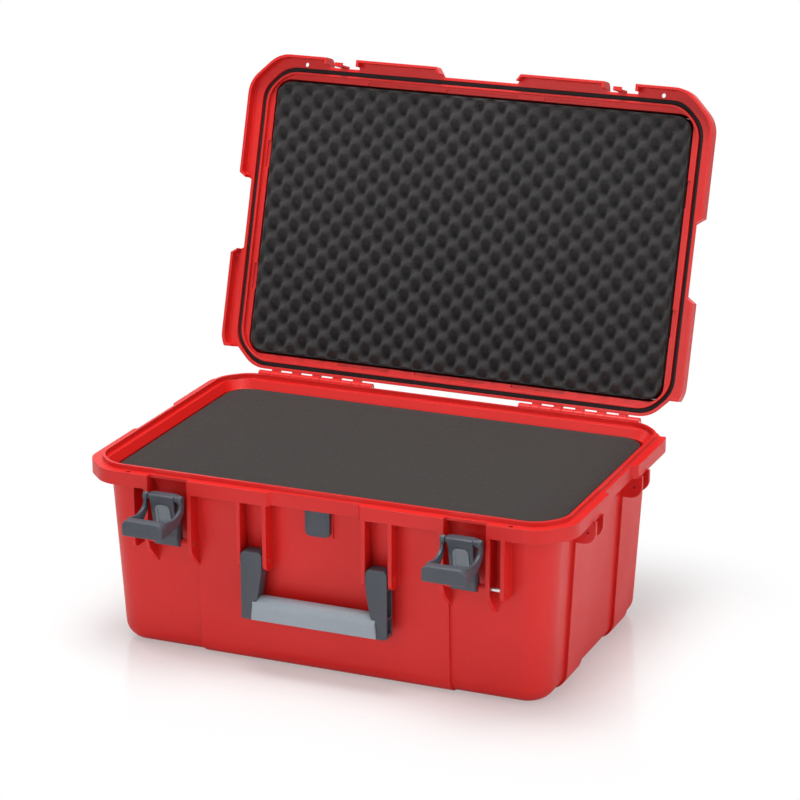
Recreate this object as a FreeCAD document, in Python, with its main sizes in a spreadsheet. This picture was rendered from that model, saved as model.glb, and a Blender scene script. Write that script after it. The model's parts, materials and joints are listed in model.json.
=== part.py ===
import FreeCAD, Part
import math
import os
import re

import Sketcher

# Protective case with a hinged lid, two front latches and a carry handle.
# Lengths in millimetres. Origin: centre of the flat underside. +X along the front, +Y to the hinge, +Z up.
# The lid is drawn closed and then turned open about its hinge; the latches hang a little open.

DIMENSIONS = [
    ("opening_half_length", 308, "rim lip, inner half length along X"),
    ("opening_half_width", 199, "rim lip, inner half width along Y"),
    ("corner_cut", 28, "rim lip, legs of its slanted inner corners"),
    ("corner_round", 40, "rim, rounds at both ends of each slanted corner"),
    ("parting_height", 241, "underside to the plane where lid and base meet"),
    ("lip_height", 5.7, "lip above the parting plane"),
    ("lip_thickness", 3.5, "lip wall"),
    ("wall", 3.5, "moulded wall of base and lid"),
    ("tub_inset", 7.5, "tub wall behind the lip's inner face, at the parting plane"),
    ("tub_taper", 11.5, "tub wall drawn in from parting plane to underside"),
    ("tub_corner_radius", 36, "upright corners of the tub"),
    ("tub_foot_radius", 24, "edge round the underside"),
    ("panel_rise", 4, "raised wall panels, front, back and under the side lugs"),
    ("throat_inset", 1.5, "sloped throat under the rim, behind the lip's inner face"),
    ("throat_depth", 20, "sloped throat, depth under the parting plane"),
    ("ledge_drop", 1, "inner ledge under the parting plane"),
    ("ledge_width", 5, "inner ledge, width"),
    ("rim_reach", 15.5, "proud rim segments beyond the lip's inner face"),
    ("set_reach", 8.5, "set-back rim beyond the lip's inner face"),
    ("rim_plate", 4, "rim, thickness of its top"),
    ("rim_skirt_depth", 17.5, "rim skirt, height"),
    ("rim_skirt_wall", 3, "rim skirt, wall"),
    ("centre_half", 57, "front rim, half length of the set-back over the valve"),
    ("side_half", 52, "side rim, half length of its set-back"),
    ("rear_step", 24, "side rim, proud part ends this far before the lip's back"),
    ("notch_slant", 0.7, "set-back ends, sideways run for each millimetre outwards"),
    ("padlock_inset", 55, "padlock hole from the lip's end, along X"),
    ("padlock_reach", 9.5, "padlock hole beyond the lip's inner face"),
    ("padlock_radius", 3, "padlock hole"),
    ("latch_inset", 111, "latch from the lip's end, along X"),
    ("bay_half", 27, "latch bay, half of its clear width"),
    ("rib_thickness", 5, "front ribs"),
    ("rib_drop", 121.5, "latch ribs, slanted lower end under the parting plane"),
    ("rib_curve", 25, "latch ribs, round where the slant begins"),
    ("rib_slant", 1, "latch ribs, rise of the slant for each millimetre outwards"),
    ("rib_end_round", 9, "handle and outer ribs, round at the blunt lower end"),
    ("support_offset", 48, "outer pin rib from the latch"),
    ("support_drop", 97, "outer pin rib, lower end under the parting plane"),
    ("pin_boss_radius", 5, "bosses round the latch pins, inside the bays"),
    ("pin_boss_gap", 0.4, "those bosses from the latch claw"),
    ("latch_pivot_drop", 83.3, "latch pivot under the parting plane"),
    ("latch_pivot_depth", 7, "latch pivot behind the rib fronts"),
    ("latch_pin_radius", 2.5, "latch pivot pin"),
    ("pin_clearance", 0.03, "running clearance round every pin"),
    ("claw_half_width", 16, "latch claw, half width"),
    ("claw_front", 8, "latch claw, plate before the pivot"),
    ("claw_back", 4.5, "latch claw, plate behind the pivot"),
    ("claw_length", 64.3, "latch claw, pivot to lever axis along the plate"),
    ("lever_set", 3, "lever axis before the pivot"),
    ("claw_rest_tilt", 12.6, "latch claw, degrees off upright at rest"),
    ("claw_hub_radius", 5, "latch claw, round its pivot"),
    ("claw_block_top", 15, "latch claw, thick foot above the pivot"),
    ("claw_block_depth", 12, "latch claw, thick foot before the pivot"),
    ("claw_crown", 4.5, "latch claw, top above the lever axis"),
    ("claw_nose_height", 5, "latch claw, height of the hooked nose at its top"),
    ("claw_nose_reach", 2, "latch claw, nose behind the plate"),
    ("claw_relief_depth", 1.5, "latch claw, relief under the nose"),
    ("claw_relief_height", 12.6, "latch claw, height of that relief"),
    ("lever_pin_radius", 1.5, "lever pin"),
    ("lever_hub_radius", 5, "lever hubs"),
    ("lever_arm_inner", 20.4, "lever arms, inner faces from the latch centre"),
    ("lever_arm_outer", 26.3, "lever arms, outer faces from the latch centre"),
    ("lever_bar_half", 27.5, "lever grip bar, half length"),
    ("lever_bar_reach", 60, "lever grip bar, front before the lever axis"),
    ("lever_bar_depth", 15, "lever grip bar, depth"),
    ("lever_bar_top", 13, "lever grip bar, top under the lever axis"),
    ("lever_bar_height", 20.5, "lever grip bar, height"),
    ("lever_bar_round", 5, "lever grip bar, edge round"),
    ("button_half_width", 10.2, "lock button, half width"),
    ("button_low", 28, "lock button, lower edge above the pivot"),
    ("button_height", 28.8, "lock button, height"),
    ("button_thickness", 4.5, "lock button"),
    ("button_stand", 1.5, "lock button, proud of the claw"),
    ("button_clearance", 0.3, "lock button, play in its window"),
    ("button_floor", 7, "lock window, floor thickness"),
    ("spring_strip", 0.4, "lock spring strip"),
    ("spring_half_width", 4, "lock spring strip, half width"),
    ("spring_half_length", 9, "lock spring strip, half length"),
    ("strike_half", 5.5, "strike tongue on the lid, half width"),
    ("strike_thickness", 2.6, "strike tongue"),
    ("strike_gap", 0.5, "strike tongue before the set-back rim"),
    ("strike_drop", 23.1, "strike tongue under the parting plane"),
    ("strike_ledge", 3, "strike ledge, height"),
    ("strike_reach", 2.8, "strike ledge before the tongue"),
    ("handle_offset", 83.2, "handle arm from the middle, along X"),
    ("handle_bay_half", 15, "handle arm bay, half of its clear width"),
    ("handle_arm_half", 14, "handle arm, half width at the top"),
    ("handle_arm_foot", 17.5, "handle arm, width at the foot"),
    ("handle_arm_depth", 18, "handle arm, front to back"),
    ("handle_pivot_drop", 90, "handle pivot under the parting plane"),
    ("handle_rib_drop", 104, "handle ribs, lower end under the parting plane"),
    ("handle_pivot_depth", 7.5, "handle pivot behind the rib fronts"),
    ("handle_pin_radius", 2.5, "handle pivot pins"),
    ("handle_crown", 11, "handle arm, top above its pivot"),
    ("handle_drop", 78, "handle, lower edge under its pivot"),
    ("handle_core_height", 17.5, "handle cross bar inside the grip, height"),
    ("handle_core_depth", 10, "handle cross bar inside the grip, depth"),
    ("handle_recess", 9, "hollow in the outer side of each arm, depth"),
    ("handle_recess_wall", 3, "wall round that hollow"),
    ("grip_height", 29.5, "grip, height"),
    ("grip_depth", 23, "grip, front to back"),
    ("grip_round", 8, "grip, long edges"),
    ("valve_half_width", 16.5, "valve cover, half width"),
    ("valve_height", 41.5, "valve cover, height"),
    ("valve_top", 11, "valve cover, top under the parting plane"),
    ("valve_cover_depth", 6.5, "valve cover, front to back"),
    ("valve_cover_wall", 1.8, "valve cover, wall"),
    ("valve_corner", 7, "valve cover, lower corners"),
    ("valve_seat", 1.2, "flat valve seat proud of the front panel"),
    ("valve_flange_radius", 12, "valve body flange"),
    ("valve_flange", 2, "valve body flange, thickness"),
    ("valve_stem_radius", 7.5, "valve body stem"),
    ("valve_bore_radius", 3, "valve body air passage"),
    ("valve_hole_gap", 0.3, "valve stem in the wall"),
    ("valve_seal", 1.5, "valve seal ring, thickness"),
    ("valve_nut_radius", 12, "valve nut, across corners / 2"),
    ("valve_nut", 5, "valve nut, thickness"),
    ("valve_membrane", 0.5, "valve membrane, thickness"),
    ("valve_inner_boss", 15, "flat boss for the nut, half width"),
    ("valve_boss_rise", 1.5, "flat boss for the nut, proud of the tapered wall"),
    ("hinge_reach", 16.5, "hinge axis behind the lip's inner face"),
    ("hinge_rise", 0.6, "hinge axis above the parting plane"),
    ("hinge_radius", 6, "hinge knuckles"),
    ("hinge_pin_radius", 2, "hinge pins"),
    ("hinge_inset", 203, "first knuckle from the lip's end, along X"),
    ("hinge_pitch", 30, "knuckle spacing"),
    ("hinge_base_length", 17, "base knuckle, length"),
    ("hinge_side_gap", 0.4, "play between knuckles"),
    ("hinge_web", 4.5, "web from rim to knuckle"),
    ("stop_gap", 0.3, "open lid's heel from the base skirt"),
    ("stop_drop", 7, "open lid's heel under the hinge axis"),
    ("open_angle", 107, "lid opening in degrees"),
    ("lug_thickness", 5, "side lugs"),
    ("lug_spacing", 27, "side lugs of one pair, centre to centre"),
    ("lug_reach", 19, "side lugs beyond the lip's inner face"),
    ("lug_drop", 46, "side lugs, lower end under the parting plane"),
    ("lug_round", 15.5, "side lugs, lower outer corner"),
    ("lug_hole_radius", 2, "side lugs, pin hole"),
    ("lug_hole_reach", 8, "side lugs, pin hole beyond the lip's inner face"),
    ("lug_hole_drop", 31, "side lugs, pin hole under the parting plane"),
    ("pad_offset", 88, "raised side panel from the middle, along Y"),
    ("pad_half", 27, "raised side panel, half length"),
    ("lid_depth", 58, "lid, parting plane to its top"),
    ("lid_taper", 3, "lid wall drawn in from rim to top"),
    ("lid_corner_radius", 24.5, "upright corners of the lid"),
    ("lid_top_radius", 18, "lid, edge round its top"),
    ("lid_top_wall", 6, "lid, thickness of its top"),
    ("lid_panel_margin", 62, "lid, sunk panel in its top from the wall"),
    ("lid_panel_depth", 2.5, "lid, sunk panel"),
    ("close_gap", 0.3, "shut lid's rim above the base rim"),
    ("lid_plate", 4, "lid rim, top above the parting plane"),
    ("lid_gap", 1.5, "lid skirt, gap round the base rim"),
    ("lid_skirt_wall", 3.5, "lid skirt, wall"),
    ("lid_skirt_drop", 14.5, "lid skirt under the parting plane"),
    ("return_gap", 2, "lid skirt's ends from the base rim's ends"),
    ("swing_gap", 2, "lid skirt's rear ends, more room for the swing"),
    ("gusset_height", 16, "lid gussets beside the latches"),
    ("slot_depth", 1.5, "lid ledge, slots behind the seal groove's depth"),
    ("slot_middle_half", 50, "lid ledge, middle slots, half length along X"),
    ("slot_near", 88, "lid ledge, outer slots, near end along X"),
    ("slot_far", 162, "lid ledge, outer slots, far end along X"),
    ("slot_end_near", 66, "lid ledge, slots at the short ends, near end along Y"),
    ("slot_end_far", 102, "lid ledge, slots at the short ends, far end along Y"),
    ("groove_side", 1.2, "seal groove beyond the lip on each side"),
    ("groove_depth", 8, "seal groove"),
    ("seal_wall", 2.8, "wall inside the seal groove"),
    ("seal_margin", 2.8, "rim block outside the lip"),
    ("seal_roof", 3, "rim block above the groove"),
    ("seal_thickness", 2, "seal"),
    ("seal_play", 0.2, "seal from the groove's sides"),
    ("foam_play", 0.5, "foam from the walls"),
    ("foam_drop", 10, "base foam top under the parting plane"),
    ("foam_layer", 74, "upper base foam layers, each"),
    ("foam_valve_half", 20, "notch in the top foam round the valve nut, half width"),
    ("foam_valve_depth", 14, "that notch, into the foam"),
    ("foam_valve_height", 47, "that notch, height"),
    ("egg_period", 31, "lid foam bumps, spacing"),
    ("egg_rise", 7, "lid foam bumps, half their height"),
    ("egg_peak", 2, "lid foam bumps, peaks under the parting plane"),
    ("egg_border", 9, "lid foam, flat border at the sides"),
    ("lid_foam_radius", 21.5, "lid foam, corners"),
]

DERIVED = [
    ("padlock_offset", "opening_half_length - padlock_inset", "padlock hole from the middle, along X"),
    ("latch_offset", "opening_half_length - latch_inset", "latch from the middle, along X"),
    ("hinge_start", "opening_half_length - hinge_inset", "first knuckle from the middle, along X"),
]

V = FreeCAD.Vector
X_AXIS = V(1, 0, 0)
TURN = {
    "x": FreeCAD.Rotation(V(0, 1, 0), 90),
    "y": FreeCAD.Rotation(X_AXIS, -90),
    "z": FreeCAD.Rotation(),
}
SKETCH_TURN = {
    "yz": FreeCAD.Rotation(V(1, 1, 1), 120),
    "xz": FreeCAD.Rotation(X_AXIS, 90),
    "xy": FreeCAD.Rotation(),
}
SIDES = (("left", -1), ("right", 1))

doc = FreeCAD.newDocument("protective_case")
sheet = doc.addObject("Spreadsheet::Sheet", "dims")
LENGTHS = DIMENSIONS + [(alias, f"={formula}", meaning) for alias, formula, meaning in DERIVED]
for row, (alias, value, meaning) in enumerate(LENGTHS, start=1):
    sheet.set(f"A{row}", meaning)
    sheet.set(f"B{row}", str(value))
    sheet.setAlias(f"B{row}", alias)
doc.recompute()

ALIAS = re.compile(r"\b(" + "|".join(alias for alias, value, meaning in LENGTHS) + r")\b")
nodes = []


def size(alias):
    """Value of one sheet cell."""
    return float(sheet.get(alias))


def sized(text):
    """Expression with each alias bound to the sheet."""
    return ALIAS.sub(r"dims.\1", text)


def bind(item, **expressions):
    """Bind properties of an item to sheet expressions; a base_ prefix means a placement coordinate."""
    for name, text in expressions.items():
        target = f"Placement.Base.{name[5:]}" if name.startswith("base_") else name
        item.setExpression(target, sized(text))
    return item


def mirrored(low, high, sign):
    """Span along X for the left or the right side."""
    return (low, high) if sign > 0 else (f"-({high})", f"-({low})")


def box(name, x, y, z):
    """Box between two expressions on each axis."""
    item = doc.addObject("Part::Box", name)
    for axis, side, (low, high) in zip("xyz", ("Length", "Width", "Height"), (x, y, z)):
        bind(item, **{side: f"({high}) - ({low})", f"base_{axis}": low})
    return item


def rod(name, axis, span, radius, centre):
    """Cylinder along an axis over a span; centre gives the other two coordinates in order."""
    item = doc.addObject("Part::Cylinder", name)
    item.Placement = FreeCAD.Placement(V(), TURN[axis])
    low, high = span
    bind(item, Radius=radius, Height=f"({high}) - ({low})", **{f"base_{axis}": low})
    for other, text in zip((a for a in "xyz" if a != axis), centre):
        bind(item, **{f"base_{other}": text})
    return item


def frustum(name, top, bottom, z, y_middle="0"):
    """Tapered block with half sizes (x, y) at its top and bottom."""
    item = doc.addObject("Part::Wedge", name)
    item.Placement = FreeCAD.Placement(V(), SKETCH_TURN["xz"])
    bind(item, Ymin=z[0], Ymax=z[1], base_y=y_middle)
    bind(item, Xmin=f"-({bottom[0]})", Xmax=bottom[0], Zmin=f"-({bottom[1]})", Zmax=bottom[1])
    bind(item, X2min=f"-({top[0]})", X2max=top[0], Z2min=f"-({top[1]})", Z2max=top[1])
    return item


def prism(name, plane, points, span):
    """Polygon of (u, v) expressions in a plane, drawn out over a span along the third axis."""
    sketch = doc.addObject("Sketcher::SketchObject", name + "_outline")
    count = len(points)
    ring = [V(math.cos(math.tau * k / count), math.sin(math.tau * k / count), 0) for k in range(count)]
    for k in range(count):
        sketch.addGeometry(Part.LineSegment(ring[k], ring[(k + 1) % count]), False)
    for k in range(count):
        sketch.addConstraint(Sketcher.Constraint("Coincident", k, 2, (k + 1) % count, 1))
    for k, point in enumerate(points):
        for kind, text, start in zip(("DistanceX", "DistanceY"), point, ring[k]):
            index = sketch.addConstraint(Sketcher.Constraint(kind, -1, 1, k, 1, start))
            sketch.setExpression(f"Constraints[{index}]", sized(text))
    axis = next(a for a in "xyz" if a not in plane)
    sketch.Placement = FreeCAD.Placement(V(), SKETCH_TURN[plane])
    item = doc.addObject("Part::Extrusion", name)
    item.Base = sketch
    item.DirMode = "Normal"
    item.Solid = True
    bind(sketch, **{f"base_{axis}": span[1] if plane == "xz" else span[0]})
    bind(item, LengthFwd=f"({span[1]}) - ({span[0]})")
    return item


def fuse(name, *shapes):
    """Union of several items."""
    item = doc.addObject("Part::MultiFuse", name)
    item.Shapes = list(shapes)
    item.Refine = True
    return item


def cut(name, base, *tools):
    """Item less one or more tools."""
    item = doc.addObject("Part::Cut", name)
    item.Base = base
    item.Tool = tools[0] if len(tools) == 1 else fuse(name + "_tools", *tools)
    item.Refine = True
    return item


def rounded(name, base, *rounds):
    """Item with fillets; each round is (test of an edge, radius)."""
    doc.recompute()
    box_of = base.Shape.BoundBox
    item = doc.addObject("Part::Fillet", name)
    item.Base = base
    edges = []
    for index, edge in enumerate(base.Shape.Edges, start=1):
        radius = next((r for test, r in rounds if test(edge, box_of)), None)
        if radius:
            edges.append((index, radius, radius))
    item.Edges = edges
    return item


def span_of(edge):
    """Edge direction as absolute components of its chord."""
    ends = [v.Point for v in edge.Vertexes]
    chord = ends[-1] - ends[0]
    return abs(chord.x), abs(chord.y), abs(chord.z)


def upright(edge, limits):
    """Edges that climb."""
    dx, dy, dz = span_of(edge)
    return dz > 1e-6


def flat_at(side):
    """Edges that lie in one face of the item's box, such as zmin or zmax."""

    def test(edge, limits):
        level = getattr(limits, side.upper()[0] + side[1:].capitalize())
        axis = side[0]
        return all(abs(getattr(v.Point, axis) - level) < 1e-6 for v in edge.Vertexes)

    return test


def both(*tests):
    """Edges that pass every test."""
    return lambda edge, limits: all(test(edge, limits) for test in tests)


def along(axis):
    """Edges parallel to an axis."""

    def test(edge, limits):
        chord = span_of(edge)
        return chord["xyz".index(axis)] > 0.999 * sum(chord)

    return test


def plate(name, reach, z):
    """Rectangle with slanted, rounded corners that stands off the opening's outline by a reach."""
    half_x = f"opening_half_length + {reach}"
    half_y = f"opening_half_width + {reach}"
    block = box(name + "_block", (f"-({half_x})", half_x), (f"-({half_y})", half_y), z)
    doc.recompute()
    reach_value = block.Length.Value / 2 - size("opening_half_length")
    leg = size("corner_cut") + reach_value * (2 - math.sqrt(2))
    slanted = doc.addObject("Part::Chamfer", name + "_slanted")
    slanted.Base = block
    slanted.Edges = [(k, leg, leg) for k, edge in enumerate(block.Shape.Edges, start=1) if upright(edge, None)]
    widest = 0.95 * leg * math.sqrt(2) / (2 * math.tan(math.pi / 8))
    return rounded(name, slanted, (upright, min(size("corner_round"), widest)))


def node(item, label, placement=None):
    """Name an item as a sub-part, put it in its place and list it for writing."""
    item.Label = label
    if placement is not None:
        item.Placement = placement
    nodes.append(item)
    return item


# Shared places
PARTING = "parting_height"
RIB_FRONT = "-(opening_half_width + rim_reach)"
SET_FRONT = "-(opening_half_width + set_reach)"
LATCH_PIVOT = ("-(opening_half_width + rim_reach - latch_pivot_depth)", "parting_height - latch_pivot_drop")
HANDLE_PIVOT = ("-(opening_half_width + rim_reach - handle_pivot_depth)", "parting_height - handle_pivot_drop")
HINGE = ("opening_half_width + hinge_reach", "parting_height + hinge_rise")
TUB_TOP = ("opening_half_length - tub_inset", "opening_half_width - tub_inset")
TUB_FOOT = tuple(f"{half} - tub_taper" for half in TUB_TOP)
LID_FACE = "parting_height + close_gap"
LID_REACH = "rim_reach + lid_gap + lid_skirt_wall"
VALVE_MIDDLE = "parting_height - valve_top - valve_height / 2"
VALVE_FACE = "opening_half_width - tub_inset - tub_taper * (valve_top / parting_height) + panel_rise + valve_seat"
VALVE_FALL = "tub_taper * ((valve_top + valve_height) / parting_height)"
VALVE_BACK = f"opening_half_width - tub_inset - wall - {VALVE_FALL} - valve_boss_rise"
BAY_RIB = "(bay_half + rib_thickness / 2)"
RIB_PLACES = (
    "handle_offset - handle_bay_half - rib_thickness / 2",
    "handle_offset + handle_bay_half + rib_thickness / 2",
    f"latch_offset - {BAY_RIB}",
    f"latch_offset + {BAY_RIB}",
    "latch_offset + support_offset",
)
FAR = "3 * rim_reach"
KNUCKLES = 6

hinge_point = V(0, size("opening_half_width") + size("hinge_reach"), size("parting_height") + size("hinge_rise"))
LID_OPEN = FreeCAD.Placement(V(), FreeCAD.Rotation(X_AXIS, -size("open_angle")), hinge_point)


def rim_notches(name, narrower, z, swing="0"):
    """Blocks that take the proud rim away where it is set back, narrower at their ends; swing moves the rear one."""
    beyond = f"opening_half_length + {FAR}"
    outward = f"notch_slant * ({FAR} - set_reach)"
    centre = f"centre_half - ({narrower})"
    front = (SET_FRONT, f"-(opening_half_width + {FAR})")
    middle = (
        (f"-({centre})", "-opening_half_width + wall"),
        (f"{centre}", "-opening_half_width + wall"),
        (f"{centre}", front[0]),
        (f"{centre} + {outward}", front[1]),
        (f"-({centre} + {outward})", front[1]),
        (f"-({centre})", front[0]),
    )
    rear_y = (f"opening_half_width - rear_step + ({narrower}) + ({swing})", f"opening_half_width + {FAR}")
    blocks = [prism(name + "_centre", "xy", middle, z), box(name + "_rear", (f"-({beyond})", beyond), rear_y, z)]
    half = f"side_half - ({narrower})"
    for side, sign in SIDES:
        inner = f"{sign} * (opening_half_length - wall)"
        edge = f"{sign} * (opening_half_length + set_reach)"
        outer = f"{sign} * ({beyond})"
        outline = (
            (inner, f"-({half})"),
            (edge, f"-({half})"),
            (outer, f"-({half} + {outward})"),
            (outer, f"{half} + {outward}"),
            (edge, half),
            (inner, half),
        )
        blocks.append(prism(f"{name}_{side}", "xy", outline, z))
    return blocks


def latch_gaps(name, narrower, y, z):
    """Blocks over the two latch bays."""
    reach = (f"latch_offset - bay_half + ({narrower})", f"latch_offset + bay_half - ({narrower})")
    return [box(f"{name}_{side}", mirrored(*reach, sign), y, z) for side, sign in SIDES]


def knuckles(name, first, length, count, web_z):
    """Hinge knuckles of one half with the webs that carry them, both groups."""
    shapes = []
    for side, sign in SIDES:
        for k in range(count):
            start = f"hinge_start + {k} * hinge_pitch + {first}"
            span = mirrored(start, f"{start} + {length}", sign)
            tag = f"{name}_{side}_{k}"
            shapes.append(rod(tag, "x", span, "hinge_radius", HINGE))
            web_y = ("opening_half_width + set_reach - rim_skirt_wall", HINGE[0])
            shapes.append(box(tag + "_web", span, web_y, web_z))
    return shapes


def hinge_bores(name):
    """Bores for the two hinge pins."""
    span = ("hinge_start - 1", f"hinge_start + {KNUCKLES} * hinge_pitch")
    radius = "hinge_pin_radius + pin_clearance"
    return [rod(f"{name}_{side}", "x", mirrored(*span, sign), radius, HINGE) for side, sign in SIDES]


def padlock_bores(name):
    """Padlock holes at the front corners."""
    span = (f"{PARTING} - rim_skirt_depth", f"{PARTING} + rim_skirt_depth")
    place = "-(opening_half_width + padlock_reach)"
    return [
        rod(f"{name}_{side}", "z", span, "padlock_radius", (f"{sign} * padlock_offset", place))
        for side, sign in SIDES
    ]


def base_rim():
    """Base rim: proud segments and set-back stretches with a skirt, hollow underneath."""
    z = (f"{PARTING} - rim_skirt_depth", PARTING)
    under = (f"{PARTING} - rim_skirt_depth - 1", f"{PARTING} - rim_plate")
    front_y = (f"-(opening_half_width + {FAR})", "-opening_half_width")
    proud = cut(
        "rim_proud",
        plate("rim_proud_full", "rim_reach", z),
        *rim_notches("rim_notch", "0", z),
        *latch_gaps("rim_gap", "0", front_y, z),
    )
    proud_hollow = cut(
        "rim_proud_hollow",
        plate("rim_hollow_full", "(rim_reach - rim_skirt_wall)", under),
        *rim_notches("rim_hollow_notch", "-rim_skirt_wall", under),
    )
    set_hollow = plate("rim_set_hollow", "(set_reach - rim_skirt_wall)", under)
    bays = latch_gaps("rim_bay", "0", front_y, under)
    whole = fuse("rim_whole", plate("rim_set", "set_reach", z), proud)
    return cut("rim", whole, fuse("rim_hollow", proud_hollow, set_hollow, *bays))


def low_front(edge, limits):
    """Edge along X in the front face, under its upper end."""
    in_front = flat_at("ymin")(edge, limits) and along("x")(edge, limits)
    return in_front and edge.Vertexes[0].Point.z < limits.ZMax - 1


def front_ribs():
    """Ribs that carry the pins: slanted lower ends beside the latches, blunt ones elsewhere; and pin bosses."""
    top = f"{PARTING} - rim_plate / 2"
    back = f"-({TUB_FOOT[1]})"
    depth = f"({back} - ({RIB_FRONT}))"
    behind = f"tub_taper * (1 - rib_drop / {PARTING})"
    slant_low = f"{PARTING} - rib_drop - rib_slant * {behind}"
    slanted = ((RIB_FRONT, top), (back, top), (back, slant_low), (RIB_FRONT, f"{slant_low} + rib_slant * {depth}"))
    drops = ("handle_rib_drop", "handle_rib_drop", None, None, "support_drop")
    shapes = []
    for side, sign in SIDES:
        for k, (place, drop) in enumerate(zip(RIB_PLACES, drops)):
            tag = f"rib_{side}_{k}"
            x = mirrored(f"{place} - rib_thickness / 2", f"{place} + rib_thickness / 2", sign)
            if drop:
                bar = box(tag, x, (RIB_FRONT, back), (f"{PARTING} - {drop}", top))
                curve = size("rib_end_round")
            else:
                bar = prism(tag, "yz", slanted, x)
                curve = size("rib_curve")
            shapes.append(rounded(tag + "_round", bar, (low_front, curve)))
        for end, inner, outer in (
            ("near", "latch_offset - bay_half - 1", "latch_offset - claw_half_width - pin_boss_gap"),
            ("far", "latch_offset + claw_half_width + pin_boss_gap", "latch_offset + bay_half + 1"),
        ):
            shapes.append(rod(f"pin_boss_{side}_{end}", "x", mirrored(inner, outer, sign), "pin_boss_radius", LATCH_PIVOT))
    return shapes


def side_lugs():
    """Pairs of ears under the rim of both short sides, where a side handle can be pinned."""
    bars = []
    reach = "opening_half_length + lug_reach"
    z = (f"{PARTING} - lug_drop", f"{PARTING} - lid_skirt_drop - return_gap")
    lower_ends = both(flat_at("zmin"), along("y"))
    for pair, pad in (("front", "-pad_offset"), ("rear", "pad_offset")):
        for k in range(2):
            start = f"{pad} - pad_half + {k} * lug_spacing"
            bar = box(f"lug_{pair}_{k}", (f"-({reach})", reach), (start, f"{start} + lug_thickness"), z)
            bars.append(rounded(f"lug_{pair}_{k}_round", bar, (lower_ends, size("lug_round"))))
    return bars


def base_shell():
    """Moulded base: tub, rim, lip, ribs, lugs and hinge half."""
    foot_x = both(flat_at("zmin"), along("x"))
    foot_y = both(flat_at("zmin"), along("y"))
    foot = size("tub_foot_radius")
    tub_block = frustum("tub_block", TUB_TOP, TUB_FOOT, ("0", PARTING))
    tub = rounded("tub", tub_block, (upright, size("tub_corner_radius")), (flat_at("zmin"), foot))
    panel_z = ("0", f"{PARTING} - rim_plate / 2")
    panel_half = f"latch_offset - {BAY_RIB}"
    long_panel = frustum(
        "long_panel",
        (panel_half, f"{TUB_TOP[1]} + panel_rise"),
        (panel_half, f"{TUB_FOOT[1]} + panel_rise"),
        panel_z,
    )
    outer = [tub, rounded("long_panel_round", long_panel, (foot_x, foot))]
    for pair, pad in (("front", "-pad_offset"), ("rear", "pad_offset")):
        block = frustum(
            f"side_panel_{pair}",
            (f"{TUB_TOP[0]} + panel_rise", "pad_half"),
            (f"{TUB_FOOT[0]} + panel_rise", "pad_half"),
            panel_z,
            pad,
        )
        outer.append(rounded(f"side_panel_{pair}_round", block, (foot_y, foot)))
    throat = frustum(
        "throat_block",
        ("opening_half_length - throat_inset", "opening_half_width - throat_inset"),
        tuple(f"{half} - 1" for half in TUB_TOP),
        (f"{PARTING} - throat_depth", f"{PARTING} - rim_plate / 2"),
    )
    outer.append(rounded("throat", throat, (upright, size("tub_corner_radius"))))
    outer.append(plate("lip", "lip_thickness", (f"{PARTING} - rim_plate", f"{PARTING} + lip_height")))
    valve_z = (f"{PARTING} - valve_top - valve_height - 2", f"{PARTING} - rim_plate / 2")
    seat_half = "valve_half_width + 2"
    seat_y = (f"-({VALVE_FACE})", f"-({TUB_FOOT[1]})")
    outer.append(box("valve_seat_block", (f"-({seat_half})", seat_half), seat_y, valve_z))
    web_z = (f"{HINGE[1]} - hinge_radius", PARTING)
    outer += [base_rim(), *front_ribs(), *side_lugs()]
    outer += knuckles("base_knuckle", "0", "hinge_base_length", KNUCKLES, web_z)
    whole = fuse("base_outer", *outer)

    inner_top = tuple(f"{half} - wall" for half in TUB_TOP)
    inner_foot = tuple(f"{half} - wall" for half in TUB_FOOT)
    cavity_block = frustum("cavity_block", inner_top, inner_foot, ("wall", PARTING))
    corner = size("tub_corner_radius") - size("wall")
    cavity = rounded("cavity", cavity_block, (upright, corner), (flat_at("zmin"), foot - size("wall")))
    funnel_block = frustum(
        "funnel_block",
        ("opening_half_length - ledge_width", "opening_half_width - ledge_width"),
        tuple(f"{half} - 0.6" for half in inner_top),
        (f"{PARTING} - foam_drop - 2", PARTING),
    )
    funnel = rounded("funnel", funnel_block, (upright, corner))
    mouth_z = (f"{PARTING} - ledge_drop", f"{PARTING} + 2 * lip_height")
    hollowed = cut("base_hollowed", whole, cavity, funnel, plate("mouth", "0", mouth_z))

    boss = box(
        "valve_boss",
        ("-valve_inner_boss", "valve_inner_boss"),
        (f"-({VALVE_BACK} + wall)", f"-({VALVE_BACK})"),
        (f"{VALVE_MIDDLE} - valve_inner_boss", f"{VALVE_MIDDLE} + valve_inner_boss"),
    )
    bores = padlock_bores("base_padlock") + hinge_bores("base_hinge_bore")
    valve_span = (f"-({VALVE_FACE} + valve_cover_depth)", f"-({VALVE_BACK} - wall)")
    bores.append(rod("valve_hole", "y", valve_span, "valve_stem_radius + valve_hole_gap", ("0", VALVE_MIDDLE)))
    latch_span = ("latch_offset - bay_half - 2 * rib_thickness", "latch_offset + support_offset + rib_thickness")
    handle_span = ("handle_offset - 2 * handle_bay_half", "handle_offset + 2 * handle_bay_half")
    lug_span = ("-(pad_offset + 2 * pad_half)", "pad_offset + 2 * pad_half")
    for side, sign in SIDES:
        for tag, span, radius, pivot in (
            ("latch", latch_span, "latch_pin_radius", LATCH_PIVOT),
            ("handle", handle_span, "handle_pin_radius", HANDLE_PIVOT),
        ):
            bores.append(rod(f"{tag}_bore_{side}", "x", mirrored(*span, sign), f"{radius} + pin_clearance", pivot))
        lug_x = f"{sign} * (opening_half_length + lug_hole_reach)"
        lug_place = (lug_x, f"{PARTING} - lug_hole_drop")
        bores.append(rod(f"lug_bore_{side}", "y", lug_span, "lug_hole_radius", lug_place))
    node(cut("base_shell", fuse("base_with_boss", hollowed, boss), *bores), "base_shell")


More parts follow.
